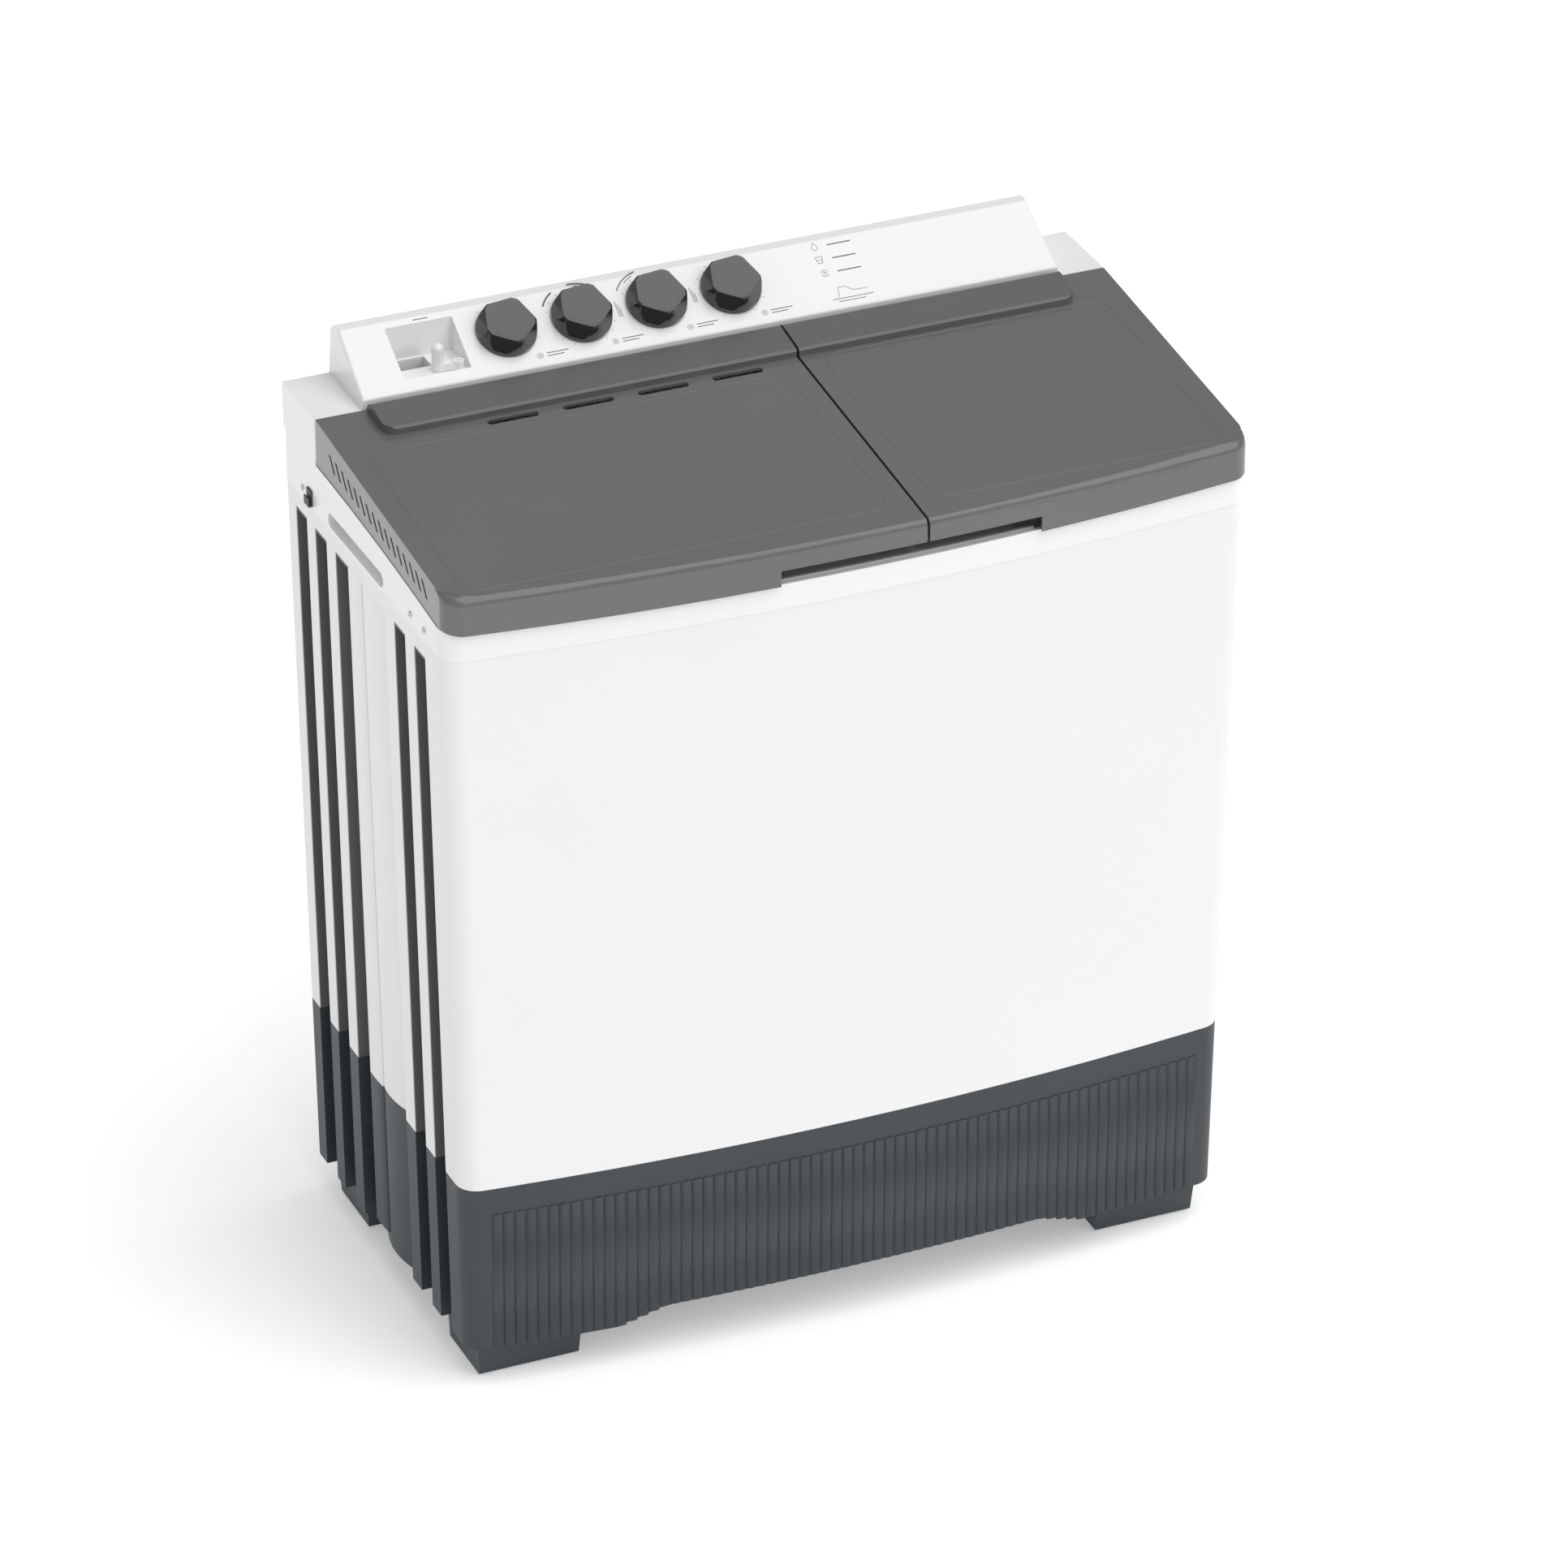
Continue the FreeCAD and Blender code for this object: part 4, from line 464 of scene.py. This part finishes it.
for node, radius, tall in (("top_cover_screws", 0.0036, 0.0016), ("rear_screws", 0.0040, 0.0022)):
    template = cross_head(radius * over_radius, tall * over_height)
    head_shape.inputs["Object"].default_value = template
    groups = {}
    for middle, axis, way in head_places(node):
        spot = middle.copy()
        spot[axis] -= way * tall
        groups.setdefault((axis, way), []).append(tuple(spot))
    for (axis, way), spots in sorted(groups.items()):
        turns = {0: (0.0, way * math.pi / 2), 1: (-way * math.pi / 2, 0.0), 2: (0.0, 0.0)}[axis]
        facing = "xyz"[axis] + ("_plus" if way > 0 else "_minus")
        grown(node + "_heads_" + facing, spots, head_tree,
              {"Turn X": turns[0], "Turn Y": turns[1], "Twist": head_twist_step}, zinc, "cabinet")
    bpy.data.objects.remove(template)

# ---- Console --------------------------------------------------------------------------------------
# White housing along the back: a shelf at each end, the sloping control face, the recess where the
# fill hose is laid, and the hinge posts for both lids.
softened("console_housing", cover_white, 0.0012)
softened("inlet_selector", cover_white, 0.0006)

# ---- Console print -----------------------------------------------------------------------------------
# Grey pad-printed marks on the control face: a ring of ticks round each knob, a few rules where
# captions would stand, and plain signs for water and spin. The ink is a film 0.05 mm thick.
ink = moulded("pad print ink", (0.16, 0.16, 0.165), 0.55, grain=0.00001, tint=0.05)
face_tilt = math.radians(31.52)
face_at = Vector((0.0, 0.1445, 0.998))
face_up = Vector((0.0, math.cos(face_tilt), math.sin(face_tilt)))
face_out = Vector((0.0, -math.sin(face_tilt), math.cos(face_tilt)))
knob_line, knob_first, knob_pitch = 0.050, -0.2195, 0.085

tick_tree, tick_in, tick_out = node_tree("printed ticks", [
    ("First dial", "NodeSocketFloat", knob_first), ("Dial pitch", "NodeSocketFloat", knob_pitch),
    ("Long", "NodeSocketFloat", 0.0022), ("Wide", "NodeSocketFloat", 0.0005),
    ("Film", "NodeSocketFloat", 0.0001), ("Tilt", "NodeSocketFloat", face_tilt),
    ("Face Y", "NodeSocketFloat", face_at.y), ("Face Z", "NodeSocketFloat", face_at.z),
    ("Dial line", "NodeSocketFloat", knob_line)])
tick_at = tick_tree.nodes.new("GeometryNodeInputPosition")
tick_split = tick_tree.nodes.new("ShaderNodeSeparateXYZ")
wire(tick_tree, (tick_at.outputs[0], tick_split.inputs[0]))
half_pitch = arithmetic(tick_tree, "MULTIPLY", tick_in.outputs["Dial pitch"], 0.5)
shifted = arithmetic(tick_tree, "ADD",
                     arithmetic(tick_tree, "SUBTRACT", tick_split.outputs["X"],
                                tick_in.outputs["First dial"]), half_pitch)
local = arithmetic(tick_tree, "SUBTRACT",
                   arithmetic(tick_tree, "FLOORED_MODULO", shifted, tick_in.outputs["Dial pitch"]),
                   half_pitch)
rise = arithmetic(tick_tree, "SUBTRACT", tick_split.outputs["Y"], tick_in.outputs["Dial line"])
heading = arithmetic(tick_tree, "ARCTAN2", rise, local)
tick_turn = tick_tree.nodes.new("ShaderNodeCombineXYZ")
tick_size = tick_tree.nodes.new("ShaderNodeCombineXYZ")
tick_bar = tick_tree.nodes.new("GeometryNodeMeshCube")
tick_on = tick_tree.nodes.new("GeometryNodeInstanceOnPoints")
tick_real = tick_tree.nodes.new("GeometryNodeRealizeInstances")
tick_lay = tick_tree.nodes.new("GeometryNodeTransform")
lay_turn = tick_tree.nodes.new("ShaderNodeCombineXYZ")
lay_move = tick_tree.nodes.new("ShaderNodeCombineXYZ")
tick_paint = tick_tree.nodes.new("GeometryNodeSetMaterial")
tick_paint.inputs["Material"].default_value = ink
wire(tick_tree, (heading, tick_turn.inputs["Z"]), (tick_in.outputs["Long"], tick_size.inputs["X"]),
     (tick_in.outputs["Wide"], tick_size.inputs["Y"]), (tick_in.outputs["Film"], tick_size.inputs["Z"]),
     (tick_in.outputs["Geometry"], tick_on.inputs["Points"]),
     (tick_bar.outputs["Mesh"], tick_on.inputs["Instance"]),
     (tick_turn.outputs[0], tick_on.inputs["Rotation"]), (tick_size.outputs[0], tick_on.inputs["Scale"]),
     (tick_on.outputs["Instances"], tick_real.inputs["Geometry"]),
     (tick_real.outputs["Geometry"], tick_lay.inputs["Geometry"]),
     (tick_in.outputs["Tilt"], lay_turn.inputs["X"]), (lay_turn.outputs[0], tick_lay.inputs["Rotation"]),
     (tick_in.outputs["Face Y"], lay_move.inputs["Y"]), (tick_in.outputs["Face Z"], lay_move.inputs["Z"]),
     (lay_move.outputs[0], tick_lay.inputs["Translation"]),
     (tick_lay.outputs["Geometry"], tick_paint.inputs["Geometry"]),
     (tick_paint.outputs["Geometry"], tick_out.inputs["Geometry"]))
tick_ring = 0.0362
spots = []
for dial, (ticks, start, sweep) in enumerate(((7, 205.0, -230.0), (16, 240.0, -300.0),
                                              (5, 150.0, -120.0), (11, 240.0, -300.0))):
    for i in range(ticks):
        a = math.radians(start + sweep * i / (ticks - 1))
        spots.append((knob_first + knob_pitch * dial + tick_ring * math.cos(a),
                      knob_line + tick_ring * math.sin(a), 0.0))
grown("dial_ticks", spots, tick_tree, {}, ink, "cabinet", smooth=False)


film = 0.0001


def printed(name, strokes):
    """Ink strokes on the control face; each is a run of (across, up) points and a width."""
    shape = bmesh.new()
    for run, wide in strokes:
        for (u0, v0), (u1, v1) in zip(run, run[1:]):
            along = Vector((u1 - u0, v1 - v0))
            if along.length < 1e-6:
                continue
            along.normalize()
            side = Vector((-along.y, along.x)) * wide / 2
            along = along * wide * 0.3
            corners = [(u0 - along.x + side.x, v0 - along.y + side.y),
                       (u0 - along.x - side.x, v0 - along.y - side.y),
                       (u1 + along.x - side.x, v1 + along.y - side.y),
                       (u1 + along.x + side.x, v1 + along.y + side.y)]
            low = [shape.verts.new(face_at + Vector((u, 0, 0)) + face_up * v - face_out * film / 2)
                   for u, v in corners]
            high = [shape.verts.new(v.co + face_out * film) for v in low]
            shape.faces.new(high)
            shape.faces.new(low[::-1])
            for i in range(4):
                j = (i + 1) % 4
                shape.faces.new((low[i], low[j], high[j], high[i]))
    set_down(name, meshed(name, shape, ink), "cabinet")


def arc_run(u, v, radius, start, end, steps=14):
    """The points of an arc on the control face, from one angle in degrees to another."""
    return [(u + radius * math.cos(math.radians(start + (end - start) * i / steps)),
             v + radius * math.sin(math.radians(start + (end - start) * i / steps)))
            for i in range(steps + 1)]


strokes = []
for dial in range(4):
    u = knob_first + knob_pitch * dial
    strokes.append((arc_run(u + 0.026, 0.0125, 0.0032, 0, 360), 0.0005))
    strokes.append((arc_run(u + 0.026, 0.0125, 0.0012, 0, 360, 8), 0.0006))
    strokes.append(([(u + 0.034, 0.0145), (u + 0.058, 0.0145)], 0.0011))
    strokes.append(([(u + 0.034, 0.0110), (u + 0.052, 0.0110)], 0.0011))
second, third = knob_first + knob_pitch, knob_first + 2 * knob_pitch
strokes += [(arc_run(second, knob_line, 0.0415, 150, 122), 0.0018),
            (arc_run(second, knob_line, 0.0415, 92, 52), 0.0018),
            (arc_run(second, knob_line, 0.0385, 84, 60), 0.0009),
            (arc_run(third, knob_line, 0.0430, 148, 104), 0.0013),
            (arc_run(third, knob_line, 0.0398, 130, 112), 0.0009)]
for u in (second + knob_pitch / 2, third + knob_pitch / 2):
    for k in range(3):
        strokes.append(([(u - 0.0016 + 0.0018 * k, 0.041), (u - 0.0016 + 0.0018 * k, 0.060 - 0.004 * k)],
                        0.0007))
strokes += [([(-0.312, 0.0838), (-0.296, 0.0838)], 0.0012)]
for v, sign in ((0.080, "drop"), (0.063, "basket"), (0.046, "spin")):
    strokes.append(([(0.158, v), (0.184, v)], 0.0015))
    if sign == "drop":
        strokes.append((arc_run(0.143, v - 0.001, 0.0032, 150, 390), 0.0006))
        strokes.append(([(0.1402, v + 0.0006), (0.143, v + 0.0055), (0.1458, v + 0.0006)], 0.0006))
    elif sign == "basket":
        strokes.append(([(0.139, v + 0.004), (0.1405, v - 0.004), (0.1455, v - 0.004), (0.147, v + 0.004),
                         (0.139, v + 0.004)], 0.0006))
        strokes.append(([(0.1395, v), (0.1465, v)], 0.0005))
    else:
        strokes.append((arc_run(0.143, v, 0.004, 20, 160), 0.0006))
        strokes.append((arc_run(0.143, v, 0.004, 200, 340), 0.0006))
        strokes.append((arc_run(0.143, v, 0.0015, 0, 360, 8), 0.0006))
strokes += [([(0.140, 0.012), (0.186, 0.012)], 0.0009), ([(0.146, 0.0085), (0.176, 0.0085)], 0.0009),
            ([(0.148, 0.014), (0.150, 0.026), (0.158, 0.026), (0.166, 0.020), (0.182, 0.0195)], 0.0006)]
printed("console_print", strokes)

# ---- Inlet chute -------------------------------------------------------------------------------------
# White channel under the console recess that carries the fill water, with one arm that ends over
# the wash tub and one that ends over the spin tub.
tub_white = moulded("tub white plastic", (0.8, 0.81, 0.82), 0.3, grain=0.00004, tint=0.01)
dress("inlet_chute", tub_white)

# ---- Lids --------------------------------------------------------------------------------------------
# Smoke-grey acrylic-look lids, polished on top, each with a skirt on its outer sides. A raised
# cover runs along the rear edge over the hinge pegs and is snapped on.
smoke = moulded("smoke grey polished plastic", (0.137, 0.137, 0.138), 0.2, grain=0.00002, tint=0.05,
                coat=0.2)
smoke_satin = moulded("smoke grey satin plastic", (0.127, 0.127, 0.128), 0.3, grain=0.00005, tint=0.02)
# Painted light: the flat outer side of each lid's skirt, picked by the way its faces point, gets a
# lighter copy of the smoke grey. It stands in for the light showing through that side of the skirt.
smoke_painted_light = moulded("smoke grey skirt with painted light", (0.26, 0.26, 0.262), 0.3, grain=0.00003, tint=0.03)
softened("wash_lid", smoke, 0.0010, second=smoke_painted_light,
         takes_second=lambda face: face.normal.x < -0.985)
softened("spin_lid", smoke, 0.0010, second=smoke_painted_light,
         takes_second=lambda face: face.normal.x > 0.985)
softened("wash_lid_cover", smoke_satin, 0.0012)
softened("spin_lid_cover", smoke_satin, 0.0012)
lid_rear, lid_rear_z, lid_slope = 0.143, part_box("wash_lid")[1].z - 0.0015, 0.1
bead_foot = 0.00015


def lid_bead(name, x0, x1, y0, y1, corner, body, wide=0.0026, tall=0.00055):
    """A faint raised bead moulded round a lid's panel, as a closed loop with round corners."""
    loop = []
    for cx, cy, start in ((x1 - corner, y1 - corner, 0), (x0 + corner, y1 - corner, 90),
                          (x0 + corner, y0 + corner, 180), (x1 - corner, y0 + corner, 270)):
        for i in range(9):
            a = math.radians(start + 90.0 * i / 8)
            loop.append((cx, cy, corner, a))
    shape = bmesh.new()
    rings = []
    for cx, cy, r, a in loop:
        ring = []
        for k in range(7):
            t = math.pi * k / 6
            reach = r + math.cos(t) * wide / 2
            x, y = cx + reach * math.cos(a), cy + reach * math.sin(a)
            lid_top = lid_rear_z - lid_slope * (lid_rear - y)
            ring.append(shape.verts.new((x, y, lid_top - bead_foot + tall * math.sin(t))))
        rings.append(ring)
    for here, after in zip(rings, rings[1:] + rings[:1]):
        for k in range(6):
            shape.faces.new((here[k], after[k], after[k + 1], here[k + 1]))
        shape.faces.new((here[6], after[6], after[0], here[0]))
    for face in shape.faces:
        face.smooth = True
    bmesh.ops.recalc_face_normals(shape, faces=shape.faces)
    set_down(name, meshed(name, shape, smoke), body)


lid_bead("wash_lid_bead", -0.424, 0.046, -0.2105, 0.0635, 0.022, "wash_lid_body")
lid_bead("spin_lid_bead", 0.094, 0.424, -0.2105, 0.0835, 0.022, "spin_lid_body")

# ---- Knobs -----------------------------------------------------------------------------------------
# Graphite knobs with five sloping flats round the grip and a satin cap, pushed onto steel shafts.
graphite = moulded("graphite knob plastic", (0.018, 0.018, 0.019), 0.16, grain=0.00002, tint=0.03,
                   coat=0.5)
knob_cap = moulded("satin knob cap", (0.095, 0.095, 0.097), 0.36, grain=0.00003, tint=0.02)
for name in ("wash_mode", "wash_timer", "drain", "spin_timer"):
    softened("knob_" + name, graphite, 0.0010, second=knob_cap,
             takes_second=lambda face: face.normal.dot(face_out) > 0.9)
    dress("shaft_" + name, metal("ground shaft " + name, (0.6, 0.6, 0.62), 0.25, (1, 1, 0.1)))

# ---- Wash side --------------------------------------------------------------------------------------
# The wash tub is one white moulding. The blue-grey pulsator is screwed to its shaft in the floor of
# the tub; the lint filter and the overflow cover stand against the tub's back wall.
softened("wash_tub", tub_white, 0.0015)
blue_grey = moulded("blue-grey plastic", (0.4, 0.47, 0.53), 0.34, grain=0.00005)
softened("pulsator", blue_grey, 0.0015)
softened("overflow_cover", blue_grey, 0.0012)
softened("lint_filter", blue_grey, 0.0012)

# ---- Lint filter gauze ----------------------------------------------------------------------------
# A nylon gauze stands over the filter's face: one row of upright threads and one of level threads,
# both made from one small bar.
bar_tree, bar_in, bar_out = node_tree("bars", [
    ("Wide", "NodeSocketFloat", 0.001), ("Deep", "NodeSocketFloat", 0.001),
    ("Tall", "NodeSocketFloat", 0.1), ("Sides", "NodeSocketInt", 6)])
bar_rod = bar_tree.nodes.new("GeometryNodeMeshCylinder")
bar_rod.inputs["Radius"].default_value = 0.5
bar_rod.inputs["Depth"].default_value = 1.0
bar_size = bar_tree.nodes.new("ShaderNodeCombineXYZ")
bar_on = bar_tree.nodes.new("GeometryNodeInstanceOnPoints")
bar_real = bar_tree.nodes.new("GeometryNodeRealizeInstances")
bar_paint = bar_tree.nodes.new("GeometryNodeSetMaterial")
wire(bar_tree, (bar_in.outputs["Sides"], bar_rod.inputs["Vertices"]),
     (bar_in.outputs["Wide"], bar_size.inputs["X"]), (bar_in.outputs["Deep"], bar_size.inputs["Y"]),
     (bar_in.outputs["Tall"], bar_size.inputs["Z"]),
     (bar_in.outputs["Geometry"], bar_on.inputs["Points"]),
     (bar_rod.outputs["Mesh"], bar_on.inputs["Instance"]),
     (bar_size.outputs[0], bar_on.inputs["Scale"]),
     (bar_on.outputs["Instances"], bar_real.inputs["Geometry"]),
     (bar_real.outputs["Geometry"], bar_paint.inputs["Geometry"]),
     (bar_paint.outputs["Geometry"], bar_out.inputs["Geometry"]))
gauze = moulded("white nylon gauze", (0.75, 0.76, 0.76), 0.5)
mesh_across, mesh_up, proud = 0.0037, 0.0042, 0.0002
low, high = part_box("lint_filter")
bar_paint.inputs["Material"].default_value = gauze
grown("filter_gauze_upright",
      [(low.x + 0.008 + mesh_across * i, low.y - proud, (low.z + high.z) / 2)
       for i in range(int((high.x - low.x - 0.016) / mesh_across) + 1)],
      bar_tree, {"Wide": 0.0008, "Deep": 0.0012, "Tall": high.z - low.z - 0.02}, gauze, "cabinet")
grown("filter_gauze_level",
      [((low.x + high.x) / 2, low.y - proud, low.z + 0.012 + mesh_up * i)
       for i in range(int((high.z - low.z - 0.024) / mesh_up) + 1)],
      bar_tree, {"Wide": high.x - low.x - 0.014, "Deep": 0.001, "Tall": 0.0008}, gauze,
      "cabinet")

# ---- Drives, valve and switches ------------------------------------------------------------------
# What sits out of sight under and behind the tubs and in the console: two enamelled motors, steel
# shafts, cast pulleys, sheet brackets, rubber hoses and seals, and nylon timers and switches.
steel = metal("turned steel", (0.58, 0.58, 0.6), 0.3)
cast = metal("die-cast aluminium", (0.66, 0.67, 0.68), 0.45, depth=0.0003)
sheet = metal("galvanised sheet", (0.55, 0.57, 0.59), 0.42, depth=0.0001)
enamel = moulded("black motor enamel", (0.02, 0.02, 0.022), 0.4, grain=0.0003, grain_scale=300.0)
nylon = moulded("natural nylon", (0.72, 0.7, 0.64), 0.5)
for name, mat in (("agitator_shaft", steel), ("agitator_housing", cast), ("driven_pulley", cast),
                  ("motor_pulley", cast), ("wash_motor", enamel), ("wash_motor_rotor", steel),
                  ("motor_bracket", sheet), ("drive_belt", rubber), ("drain_valve", nylon),
                  ("drain_rod", nylon), ("drain_plug", rubber), ("drain_hose", rubber),
                  ("spin_hose", rubber), ("capacitor", nylon), ("capacitor_clip", sheet),
                  ("wash_timer", nylon), ("spin_timer", nylon), ("wash_mode_switch", nylon),
                  ("drain_selector", nylon), ("lid_switch", nylon), ("cord_gland", rubber),
                  ("drain_outlet", slate), ("shaft_boot", rubber), ("spin_motor", enamel),
                  ("spin_motor_plate", sheet), ("spin_shaft", steel), ("brake_lever", sheet)):
    dress(name, mat)

# ---- Spin side -----------------------------------------------------------------------------------------
# The outer tub is one white moulding whose rim meets the deck. The basket that turns in it is blue-grey
# plastic, with a wall pierced all round so that the water can fly out.
softened("spin_outer_tub", tub_white, 0.0012)

low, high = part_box("spin_basket")
basket_x, basket_y = (low.x + high.x) / 2, (low.y + high.y) / 2
rim_out, basket_wall, hole_radius = 0.004, 0.0015, 0.0033
basket_r = (high.x - low.x) / 2 - rim_out


def pierced_square(wide, tall, hole, thick):
    """One square of the basket's wall with a round hole, as a small plate facing -Y."""
    shape = bmesh.new()
    rim = [(1, 0), (1, 1), (0, 1), (-1, 1), (-1, 0), (-1, -1), (0, -1), (1, -1)]
    loops = []
    for y in (0.0, -thick):
        outer = [shape.verts.new((x * wide / 2, y, z * tall / 2)) for x, z in rim]
        bore = [shape.verts.new((hole * math.cos(math.pi * i / 4), y, hole * math.sin(math.pi * i / 4)))
                for i in range(8)]
        loops.append((outer, bore))
    (back_rim, back_bore), (front_rim, front_bore) = loops
    for i in range(8):
        j = (i + 1) % 8
        shape.faces.new((front_rim[i], front_bore[i], front_bore[j], front_rim[j]))
        shape.faces.new((back_rim[j], back_bore[j], back_bore[i], back_rim[i]))
        shape.faces.new((front_bore[i], back_bore[i], back_bore[j], front_bore[j]))
    plate = bpy.data.objects.new("pierced square", meshed("pierced square", shape))
    bpy.context.scene.collection.objects.link(plate)
    return plate


across, rows = 48, 18
cell = 2 * math.pi * basket_r / across
wall_low, wall_high = low.z + 0.0055, high.z - 0.0030
rise = (wall_high - wall_low) / rows
plate = pierced_square(cell, rise, hole_radius, basket_wall)
basket_tree, basket_in, basket_out = node_tree("basket wall", [
    ("Radius", "NodeSocketFloat", basket_r), ("Centre X", "NodeSocketFloat", basket_x),
    ("Centre Y", "NodeSocketFloat", basket_y), ("Weld", "NodeSocketFloat", 0.00002)])
plate_shape = basket_tree.nodes.new("GeometryNodeObjectInfo")
plate_shape.inputs["Object"].default_value = plate
plate_on = basket_tree.nodes.new("GeometryNodeInstanceOnPoints")
plate_real = basket_tree.nodes.new("GeometryNodeRealizeInstances")
plate_at = basket_tree.nodes.new("GeometryNodeInputPosition")
plate_split = basket_tree.nodes.new("ShaderNodeSeparateXYZ")
bend = basket_tree.nodes.new("GeometryNodeSetPosition")
bent = basket_tree.nodes.new("ShaderNodeCombineXYZ")
weld = basket_tree.nodes.new("GeometryNodeMergeByDistance")
basket_paint = basket_tree.nodes.new("GeometryNodeSetMaterial")
basket_plastic = moulded("basket blue-grey plastic", (0.46, 0.53, 0.59), 0.3, grain=0.00004)
basket_paint.inputs["Material"].default_value = basket_plastic
wire(basket_tree, (plate_at.outputs[0], plate_split.inputs[0]))
around = arithmetic(basket_tree, "DIVIDE", plate_split.outputs["X"], basket_in.outputs["Radius"])
out_by = arithmetic(basket_tree, "ADD", basket_in.outputs["Radius"], plate_split.outputs["Y"])
wire(basket_tree, (basket_in.outputs["Geometry"], plate_on.inputs["Points"]),
     (plate_shape.outputs["Geometry"], plate_on.inputs["Instance"]),
     (plate_on.outputs["Instances"], plate_real.inputs["Geometry"]),
     (plate_real.outputs["Geometry"], bend.inputs["Geometry"]),
     (arithmetic(basket_tree, "ADD", basket_in.outputs["Centre X"],
                 arithmetic(basket_tree, "MULTIPLY", out_by,
                            arithmetic(basket_tree, "COSINE", around, 0.0))), bent.inputs["X"]),
     (arithmetic(basket_tree, "ADD", basket_in.outputs["Centre Y"],
                 arithmetic(basket_tree, "MULTIPLY", out_by,
                            arithmetic(basket_tree, "SINE", around, 0.0))), bent.inputs["Y"]),
     (plate_split.outputs["Z"], bent.inputs["Z"]), (bent.outputs[0], bend.inputs["Position"]),
     (bend.outputs["Geometry"], weld.inputs["Geometry"]),
     (basket_in.outputs["Weld"], weld.inputs["Distance"]),
     (weld.outputs["Geometry"], basket_paint.inputs["Geometry"]),
     (basket_paint.outputs["Geometry"], basket_out.inputs["Geometry"]))
grown("spin_basket_wall",
      [((i + 0.5) * cell, 0.0, wall_low + (k + 0.5) * rise) for i in range(across) for k in range(rows)],
      basket_tree, {}, basket_plastic, "spinner")
bpy.data.objects.remove(plate)
shape = bmesh.new()
shape.from_mesh(nodes["spin_basket"].data)
bmesh.ops.remove_doubles(shape, verts=shape.verts, dist=weld_gap)
full_height, wall_share = 0.2, 0.0025
drop = []
for face in shape.faces:
    spans = [v.co for v in face.verts]
    radii = [math.hypot(co.x - basket_x, co.y - basket_y) for co in spans]
    tall_face = max(co.z for co in spans) - min(co.z for co in spans) > full_height
    inner_joint = (all(abs(co.x - basket_x) < joint_gap for co in spans)
                   or all(abs(co.y - basket_y) < joint_gap for co in spans))
    if inner_joint or (tall_face and min(radii) > basket_r - wall_share):
        drop.append(face)
bmesh.ops.delete(shape, geom=drop, context="FACES")
for face in shape.faces:
    face.smooth = True
ends = set_down("spin_basket_ends", meshed("spin_basket_ends", shape, basket_plastic), "spinner")
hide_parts("spin_basket")
crisp = ends.modifiers.new("crisp edges", "EDGE_SPLIT")
crisp.split_angle = math.radians(35)

# ---- Back panel ----------------------------------------------------------------------------------------
# Powder-coated steel sheet with three groups of vent slots, screwed over the service opening in the
# cabinet's flat rear wall.
dress("back_panel", moulded("white powder coat", (0.74, 0.74, 0.74), 0.5, grain=0.0002,
                            grain_scale=400.0))

# ---- Floor, light and camera -------------------------------------------------------------------------
# A plain pale floor that glows a little, an even white surround, one broad soft light overhead, and
# a camera in front of the left corner looking down.
floor_mesh = bpy.data.meshes.new("floor")
floor_half = 30
floor_mesh.from_pydata([(-floor_half, -floor_half, 0), (floor_half, -floor_half, 0),
                        (floor_half, floor_half, 0), (-floor_half, floor_half, 0)], [], [(0, 1, 2, 3)])
floor = bpy.data.objects.new("floor", floor_mesh)
bpy.context.scene.collection.objects.link(floor)
paper = bpy.data.materials.new("studio floor")
paper.use_nodes = True
paper_shader = paper.node_tree.nodes["Principled BSDF"]
paper_shader.inputs["Base Color"].default_value = (0.97, 0.97, 0.97, 1)
paper_shader.inputs["Roughness"].default_value = 0.9
paper_shader.inputs["Emission Color"].default_value = (1, 1, 1, 1)
paper_shader.inputs["Emission Strength"].default_value = 0.32
floor_mesh.materials.append(paper)

world = bpy.data.worlds.new("studio")
bpy.context.scene.world = world
world.use_nodes = True
world.node_tree.nodes["Background"].inputs["Color"].default_value = (1, 1, 1, 1)
world.node_tree.nodes["Background"].inputs["Strength"].default_value = 0.41


def skylight(name, heading, strength, spread):
    """A broad even light from one side of the studio; heading points from the object to it."""
    lamp = bpy.data.lights.new(name, "SUN")
    lamp.energy = strength
    lamp.angle = math.radians(spread)
    lit = bpy.data.objects.new(name, lamp)
    lit.rotation_euler = (-Vector(heading)).to_track_quat("-Z", "Y").to_euler()
    bpy.context.scene.collection.objects.link(lit)


skylight("overhead diffuser", (0.30, -0.44, 0.9), 1.78, 70.0)

lens = bpy.data.cameras.new("view")
lens.lens = 209.1
lens.sensor_width = 36.0
lens.clip_end = 100.0
viewer = bpy.data.objects.new("view", lens)
azimuth, height, reach = math.radians(23.501), math.radians(29.199), 9.699
aim = Vector((0.023, 0.0165, 0.516))
back = Vector((-math.sin(azimuth) * math.cos(height), -math.cos(azimuth) * math.cos(height),
               math.sin(height)))
viewer.location = aim + back * reach
viewer.rotation_euler = (-back).to_track_quat("-Z", "Y").to_euler()
bpy.context.scene.collection.objects.link(viewer)
bpy.context.scene.camera = viewer
bpy.context.scene.view_settings.view_transform = "Standard"
